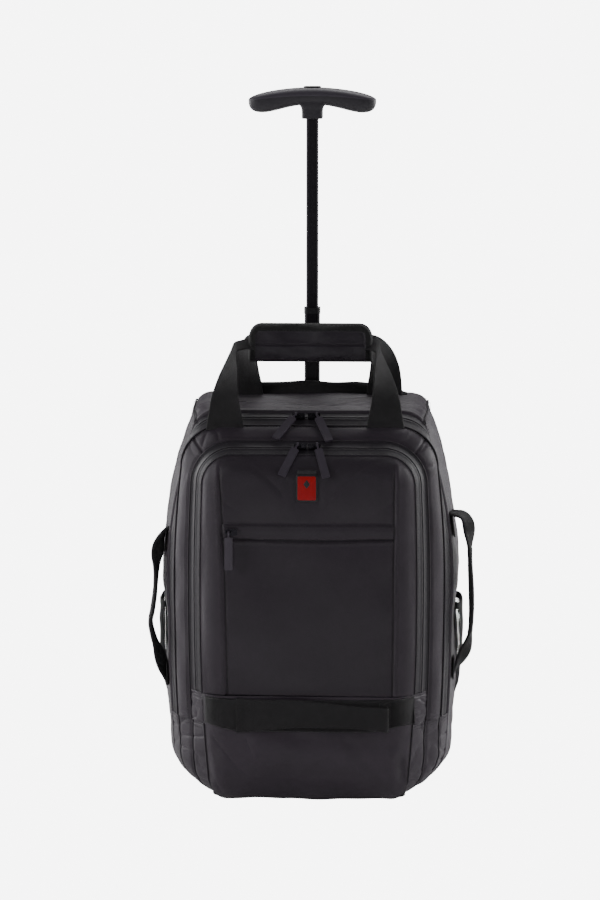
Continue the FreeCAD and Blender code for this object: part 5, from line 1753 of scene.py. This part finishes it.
@dataclass
class NetPockets:
    """Open net pockets on both sides with an elastic binding.

    Attributes:
        cell: size of one mesh of the net.
        yarn: radius of the yarn.
    """

    finishes: Finishes
    cell: float = 3.2
    yarn: float = 0.6
    t: tuple[float, float] = (15.0, 87.0)
    z: tuple[float, float] = (117.0, 250.0)

    def net_tree(self) -> bpy.types.NodeTree:
        """Geometry Nodes tree that turns the edges of a mesh into yarn."""
        tree = bpy.data.node_groups.new("net_yarn_from_edges", "GeometryNodeTree")
        face = tree.interface
        face.new_socket("Edges", in_out="INPUT", socket_type="NodeSocketGeometry")
        face.new_socket("Yarn Radius", in_out="INPUT", socket_type="NodeSocketFloat").default_value = 0.0004
        face.new_socket("Finish", in_out="INPUT", socket_type="NodeSocketMaterial")
        face.new_socket("Geometry", in_out="OUTPUT", socket_type="NodeSocketGeometry")
        source = add_node(tree, "NodeGroupInput")
        curve = add_node(tree, "GeometryNodeMeshToCurve", None, {"Mesh": source.outputs["Edges"]})
        ring = add_node(tree, "GeometryNodeCurvePrimitiveCircle", None,
                        {"Resolution": 4, "Radius": source.outputs["Yarn Radius"]})
        yarn = add_node(tree, "GeometryNodeCurveToMesh", None,
                        {"Curve": curve.outputs[0], "Profile Curve": ring.outputs["Curve"]})
        real = add_node(tree, "GeometryNodeRealizeInstances", None, {"Geometry": yarn.outputs[0]})
        dressed = add_node(tree, "GeometryNodeSetMaterial", None,
                           {"Geometry": real.outputs[0], "Material": source.outputs["Finish"]})
        add_node(tree, "NodeGroupOutput", None, {"Geometry": dressed.outputs[0]})
        return tree

    def stand_off(self, t: Grid, z: Grid) -> Grid:
        """How far the net stands off the side of the body."""
        across = np.clip(1 - np.abs(2 * (t - self.t[0]) / (self.t[1] - self.t[0]) - 1) ** 3.5, 0, 1) ** 0.6
        low, high = self.z
        upright = np.interp(z, [low, low + 24, low + 60, high - 22, high], [0.4, 7.5, 11.0, 11.4, 9.6])
        return 0.6 + upright * across

    def build(self) -> None:
        """Builds both nets and bindings."""
        tree = self.net_tree()
        sockets = {s.name: s.identifier for s in tree.interface.items_tree if s.in_out == "INPUT"}
        columns = int((self.t[1] - self.t[0]) / self.cell)
        rows = int((self.z[1] - self.z[0]) / self.cell)
        body_z, body_x = self.body_side()
        for sign, side in ((1, "right"), (-1, "left")):
            t = np.linspace(*self.t, columns * 2 + 1)[None].repeat(rows * 2 + 1, 0)
            z = np.linspace(*self.z, rows * 2 + 1)[:, None].repeat(columns * 2 + 1, 1)
            out = np.interp(z, body_z, body_x) + self.stand_off(t, z)
            out = out + 0.6 * crumple(np.stack([t, z * 0, z], -1), (28, 30, 34), 95 + sign)
            out = np.minimum(out, 212.5)
            points = np.stack([sign * out, FORM.y(t), z], -1).reshape(-1, 3)
            width = columns * 2 + 1
            edges = []
            for i in range(rows * 2):
                for j in range(width):
                    if (i + j) % 2 == 0:
                        edges += [(i * width + j, (i + 1) * width + k) for k in (j - 1, j + 1)
                                  if 0 <= k < width]
            used = sorted({k for e in edges for k in e})
            index = {k: n for n, k in enumerate(used)}
            mesh = bpy.data.meshes.new("net")
            mesh.from_pydata((points[used] * MM).tolist(), [(index[a], index[b]) for a, b in edges], [])
            net = bpy.data.objects.new("net_edges", mesh)
            bpy.context.scene.collection.objects.link(net)
            modifier = net.modifiers.new("yarn", "NODES")
            modifier.node_group = tree
            modifier[sockets["Yarn Radius"]] = self.yarn * MM
            modifier[sockets["Finish"]] = self.finishes.net
            bpy.context.view_layer.update()
            result = bpy.data.meshes.new_from_object(net.evaluated_get(bpy.context.evaluated_depsgraph_get()))
            bpy.data.objects.remove(net)
            piece = bpy.data.objects.new("net_pocket_" + side, result)
            bpy.context.scene.collection.objects.link(piece)
            set_down(piece, "case", ("mesh_pocket_" + side,))
            self.binding(sign, side, body_z, body_x)

    def body_side(self) -> tuple[Grid, Grid]:
        """Heights and half widths of the body behind the pocket."""
        line = FORM.cut(50.0, 90.0, True)
        side = line[:len(line) // 3]
        return side[:, 1], side[:, 0]

    def binding(self, sign: int, side: str, body_z: Grid, body_x: Grid) -> None:
        """Elastic binding along the pocket's mouth and tape along its other edges."""
        t = np.linspace(*self.t, 60)
        z = np.full(60, self.z[1] + 2.0) + 1.0 * np.sin(t / 9)
        out = np.minimum(np.interp(z, body_z, body_x) + self.stand_off(t, z * 0 + self.z[1]), 212.0)
        path = np.stack([sign * out, FORM.y(t), z], 1)
        parts = [Strap(thickness=2.2, rib=1.6).make("mouth", path, np.tile([0, 0, 5.0 * sign], (60, 1)),
                                                    self.finishes.binding)]
        for depth in self.t:
            heights = np.linspace(self.z[0], self.z[1], 60)
            reach = np.interp(heights, body_z, body_x) + 0.9
            path = np.stack([sign * reach, np.full(60, FORM.y(depth)), heights], 1)
            across = np.tile([0, 4.0 * sign, 0], (60, 1))
            parts.append(Strap(thickness=1.6, rib=1.6).make("edge", path, across, self.finishes.binding))
        depths = np.linspace(self.t[0] - 4, self.t[1] + 4, 50)
        reach = float(np.interp(self.z[0], body_z, body_x)) + 0.9
        path = np.stack([np.full(50, sign * reach), FORM.y(depths), np.full(50, self.z[0])], 1)
        parts.append(Strap(thickness=1.6, rib=1.6).make("foot", path, np.tile([0, 0, 4.0 * sign], (50, 1)),
                                                        self.finishes.binding))
        set_down(joined("net_pocket_binding_" + side, parts), "case")


@dataclass
class Grip:
    """Arched T-grip: a crowned top over a deep face, and its stem.

    Attributes:
        span: half length.
        depth: half depth.
        t: depth of the pole.
        edge_z: height of the edge between top and face, at the middle.
        droop: how far that edge falls at the ends.
    """

    finishes: Finishes
    span: float = 87.0
    depth: float = 17.0
    t: float = 24.0
    edge_z: float = 947.4
    droop: float = 6.5

    def build(self) -> None:
        """Builds the bar and the stem."""
        columns, rows = 150, 72
        x = self.span * np.sin(np.linspace(-math.pi / 2, math.pi / 2, columns))
        share = np.abs(x) / self.span
        cap = np.maximum(1 - share ** 9, 0) ** 0.42
        middle = self.edge_z - self.droop * share ** 2
        crown = 11.0 - 5.5 * share ** 2
        hang = 12.8 + 7.4 * smoothstep(share, 0.12, 0.8)
        turn = np.linspace(0, 2 * math.pi, rows, endpoint=False)
        cosine, sine = np.cos(turn), np.sin(turn)
        out = np.sign(cosine) * np.abs(cosine) ** np.where(sine > 0, 0.85, 0.5)
        up, down = np.clip(sine, 0, 1) ** 1.0, np.clip(-sine, 0, 1) ** 0.62
        y = FORM.y(self.t) - (self.depth * cap)[:, None] * out[None] * (1 - 0.16 * down[None])
        z = middle[:, None] + (crown * cap)[:, None] * up[None] - (hang * cap)[:, None] * down[None]
        points = np.stack([x[:, None] + 0 * y, y, z], -1)
        ends = [tuple(range(rows)), tuple(reversed(range((columns - 1) * rows, columns * rows)))]
        faces = grid_faces(columns, rows, closed=True) + ends
        bar = new_piece("t_grip_bar", points, faces, [self.finishes.grip_top_painted_light, self.finishes.grip])
        # painted light: the upper half of the bar takes the lighter grey finish where it faces the light, the
        # lower half the darker grip finish
        for polygon in bar.data.polygons:
            ids = [k % rows for k in polygon.vertices]
            polygon.material_index = int(sum(sine[k] for k in ids) < -0.1)
        stem = self.stem()
        for piece in (bar, stem):
            face_outwards(piece, merge=1e-6)
        set_down(joined("t_grip", [bar, stem]), "inner_stage", ("grip_cover", "grip_base"))

    def stem(self) -> bpy.types.Object:
        """Rounded box under the bar that flares into it."""
        heights = [916.0, 916.8, 918.0, 926.0, 930.0, 933.0, 935.5, 937.5, 941.0]
        flare = [-0.9, -0.25, 0.0, 0.0, 0.5, 1.8, 4.0, 7.5, 9.0]
        rings = []
        for z, grow in zip(heights, flare):
            half_x, half_y, radius = 14.3 + grow, 12.0 + min(grow, 1.5), 5.0
            for cx, cy, start in ((1, 1, 0), (-1, 1, 90), (-1, -1, 180), (1, -1, 270)):
                for a in np.radians(np.linspace(start, start + 90, 8)):
                    rings.append((cx * (half_x - radius) + radius * math.cos(a),
                                  FORM.y(self.t) + cy * (half_y - radius) + radius * math.sin(a), z))
        points = np.array(rings).reshape(len(heights), 32, 3)
        ends = [tuple(range(32)), tuple(reversed(range(256, 288)))]
        faces = grid_faces(len(heights), 32, closed=True) + ends
        return new_piece("t_grip_stem", points, faces, [self.finishes.grip])


@dataclass
class Badge:
    """Red enamel plate in a black frame with a small tab above it; its mark is a plain diamond."""

    finishes: Finishes
    x: float = -1.5
    z: float = 438.0
    face_t: float = 206.4

    def plate(self, name: str, width: float, height: float, radius: float, low: float, high: float,
              lift: float,
              material: bpy.types.Material, dome: float = 0.0) -> bpy.types.Object:
        """Rounded plate with a bevelled front.

        Args:
            name: piece name.
            width: X size.
            height: Z size.
            radius: corner radius.
            low: rear depth.
            high: front depth.
            lift: height of its middle over the badge's middle.
            material: finish.
            dome: crown of the face.

        Returns:
            The plate.
        """
        outline = []
        for cx, cz, start in ((1, 1, 0), (-1, 1, 90), (-1, -1, 180), (1, -1, 270)):
            for a in np.radians(np.linspace(start, start + 90, 9)):
                outline.append((cx * (width / 2 - radius) + radius * math.cos(a), cz * (height / 2 - radius)
                                + radius * math.sin(a)))
        flat = np.array(outline)
        rings = [(1.0, low), (1.0, high - 0.5), (1 - 0.6 / width, high - 0.12), (1 - 1.6 / width, high),
                 (0.6, high + dome * 0.7), (0.2, high + dome)]
        points = [np.stack([self.x + flat[:, 0] * s, np.full(len(flat), FORM.y(t)), self.z + lift
                            + flat[:, 1] * s], 1) for s, t in rings]
        count = len(flat)
        faces = grid_faces(len(rings), count, closed=True)
        faces += [tuple(range(count)), tuple(reversed(range((len(rings) - 1) * count, len(rings) * count)))]
        piece = new_piece(name, np.array(points), faces, [material])
        face_outwards(piece)
        return piece

    def build(self) -> None:
        """Builds the frame, the enamel, the tab and the diamond."""
        t = self.face_t
        frame_plate = self.plate("badge_frame", 29, 37, 3.2, t - 1.2, t + 1.7, 0, self.finishes.plastic)
        tab = self.plate("badge_tab", 26, 5.5, 1.6, t - 1.2, t + 1.3, 21.5, self.finishes.plastic)
        enamel = self.plate("badge_enamel", 24.5, 32.5, 2.2, t, t + 2.2, 0, self.finishes.enamel, 0.3)
        mark = self.plate("badge_mark", 6.4, 6.4, 0.8, t + 1.5, t + 2.9, 5.5, self.finishes.plastic)
        centre = Vector((self.x * MM, 0, (self.z + 5.5) * MM))
        for vertex in mark.data.vertices:
            dx, dz = vertex.co.x - centre.x, vertex.co.z - centre.z
            vertex.co.x, vertex.co.z = centre.x + (dx - dz) * 0.707, centre.z + (dx + dz) * 0.95
        set_down(joined("badge_plate", [frame_plate, tab, enamel, mark]), "front_flap",
                 ("badge",))


# ---------------------------------------------------------------- CAD pieces and the studio
@dataclass
class HardParts:
    """Finishes for the CAD pieces that keep their own shape."""

    finishes: Finishes

    def dress(self) -> None:
        """Gives each visible CAD node its finish."""
        f = self.finishes
        finish_of: dict[str, bpy.types.Material] = {}
        for names, material in (
            (("base_tray", "tube_foot", "front_feet", "wheel_housing_right", "wheel_housing_left",
              "outer_tube_bezel",
              "middle_tube_collar", "middle_tube_glide", "inner_tube_glide", "wheel_hub_right",
              "wheel_hub_left"), f.plastic),
            (("outer_tube", "middle_tube", "inner_tube"), f.anodised),
            (("release_button",), f.grip),
            (("base_screws", "wheel_axles", "push_rod", "lock_pin", "button_spring"), f.steel),
            (("wheel_tyre_right", "wheel_tyre_left"), f.tread), (("back_board",), f.lining),
        ):
            for name in names:
                finish_of[name] = material
        for prefix in ("main_zip", "front_zip"):
            for side in ("left", "right"):
                finish_of["%s_slider_%s" % (prefix, side)] = f.nickel
                finish_of["%s_pull_%s" % (prefix, side)] = f.pull
        finish_of["pocket_zip_slider"] = f.nickel
        finish_of["pocket_zip_pull"] = f.pull
        for name, material in finish_of.items():
            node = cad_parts[name]
            for slot in node.material_slots:
                slot.material = material
            log.info("finish %s on %s", material.name, name)


@dataclass
class Studio:
    """Camera, lights and floor.

    Attributes:
        azimuth: camera angle about Z, degrees.
        elevation: camera angle over the floor, degrees.
        distance: metres from the aim.
        lens: millimetres on a 36 mm sensor.
        aim: point the camera looks at.
    """

    azimuth: float = 2.0
    elevation: float = 10.0
    distance: float = 4.5
    lens: float = 132.3
    aim: tuple[float, float, float] = (-0.014, 0.0, 0.472)
    ambient: float = 0.1
    backdrop_glow: float = 7.0

    def build(self) -> None:
        """Builds the studio."""
        self.camera()
        self.floor()
        self.light("key_left", (-2.7, -1.2, 1.3), (0.8, 1.8), 34)
        self.light("key_right", (2.7, -0.9, 1.5), (0.8, 1.8), 19)
        self.light("edge_left", (-2.4, 1.3, 1.0), (0.8, 1.6), 44)
        self.light("edge_right", (2.4, 1.3, 1.0), (0.8, 1.6), 44)
        self.light("overhead", (0.3, 1.3, 2.7), (2.2, 1.2), 36)
        self.light("front_fill", (-0.8, -4.2, 1.6), (1.4, 1.2), 6)
        self.backdrop()

    def backdrop(self) -> None:
        """White backdrop: bright behind the case, soft and dim as a light on it."""
        world = bpy.data.worlds.new("studio")
        bpy.context.scene.world = world
        world.use_nodes = True
        tree = world.node_tree
        tree.nodes.clear()
        path = add_node(tree, "ShaderNodeLightPath")
        soft = add_node(tree, "ShaderNodeBackground", None, {"Color": (1, 1, 1, 1), "Strength": self.ambient})
        white = add_node(tree, "ShaderNodeBackground", None,
                         {"Color": (1, 1, 1, 1), "Strength": self.backdrop_glow})
        mix = add_node(tree, "ShaderNodeMixShader", None,
                       {0: path.outputs["Is Camera Ray"], 1: soft.outputs[0], 2: white.outputs[0]})
        add_node(tree, "ShaderNodeOutputWorld", None, {"Surface": mix.outputs[0]})

    def camera(self) -> None:
        """Places the camera."""
        a, e = math.radians(self.azimuth), math.radians(self.elevation)
        back = Vector((math.sin(a) * math.cos(e), -math.cos(a) * math.cos(e), math.sin(e)))
        data = bpy.data.cameras.new("camera")
        data.lens = self.lens
        data.sensor_width = 36.0
        eye = bpy.data.objects.new("camera", data)
        bpy.context.scene.collection.objects.link(eye)
        eye.location = Vector(self.aim) + back * self.distance
        eye.rotation_euler = (-back).to_track_quat("-Z", "Y").to_euler()
        bpy.context.scene.camera = eye

    def floor(self) -> None:
        """Lays a pale floor."""
        size = 14.0
        points = np.array([(-size, -size, 0), (size, -size, 0), (size, size, 0), (-size, size, 0)]) / MM
        points[:, 2] = -0.4
        paper = bpy.data.materials.new("lit_white_paper")
        paper.use_nodes = True
        tree = paper.node_tree
        tree.nodes.clear()
        path = add_node(tree, "ShaderNodeLightPath")
        matt = add_node(tree, "ShaderNodeBsdfDiffuse", None, {"Color": (0.9, 0.9, 0.9, 1)})
        glow = add_node(tree, "ShaderNodeEmission", None, {"Strength": self.backdrop_glow})
        lit = add_node(tree, "ShaderNodeMixShader", None,
                       {0: path.outputs["Is Camera Ray"], 1: matt.outputs[0], 2: glow.outputs[0]})
        add_node(tree, "ShaderNodeOutputMaterial", None, {"Surface": lit.outputs[0]})
        floor = new_piece("floor", points, [(0, 1, 2, 3)], [paper])

    def light(self, name: str, place: tuple[float, float, float], size: tuple[float, float],
              watts: float) -> None:
        """Adds a soft box aimed at the middle of the case."""
        data = bpy.data.lights.new(name, "AREA")
        data.shape = "RECTANGLE"
        data.size, data.size_y = size
        data.energy = watts
        lamp = bpy.data.objects.new(name, data)
        bpy.context.scene.collection.objects.link(lamp)
        lamp.location = place
        lamp.rotation_euler = (Vector((0, 0, 0.4)) - Vector(place)).to_track_quat("-Z", "Y").to_euler()


def main() -> None:
    """Builds the case in order."""
    random.seed(SEED)
    Studio().build()
    finishes = Finishes()
    seams = Seams()
    HardParts(finishes).dress()
    Body(finishes, seams).build()
    Lid(finishes, seams).build()
    front = FrontPanel(finishes, seams)
    front.upper_panel()
    front.flap_tape()
    front.lower_panel()
    CarryHandles(finishes, seams).build()
    SideHandles(finishes, seams).build()
    LowerBand(finishes, seams, front).build()
    NetPockets(finishes).build()
    Badge(finishes).build()
    Grip(finishes).build()
    seams.finish(Rows(), finishes)


if __name__ == "__main__":
    main()
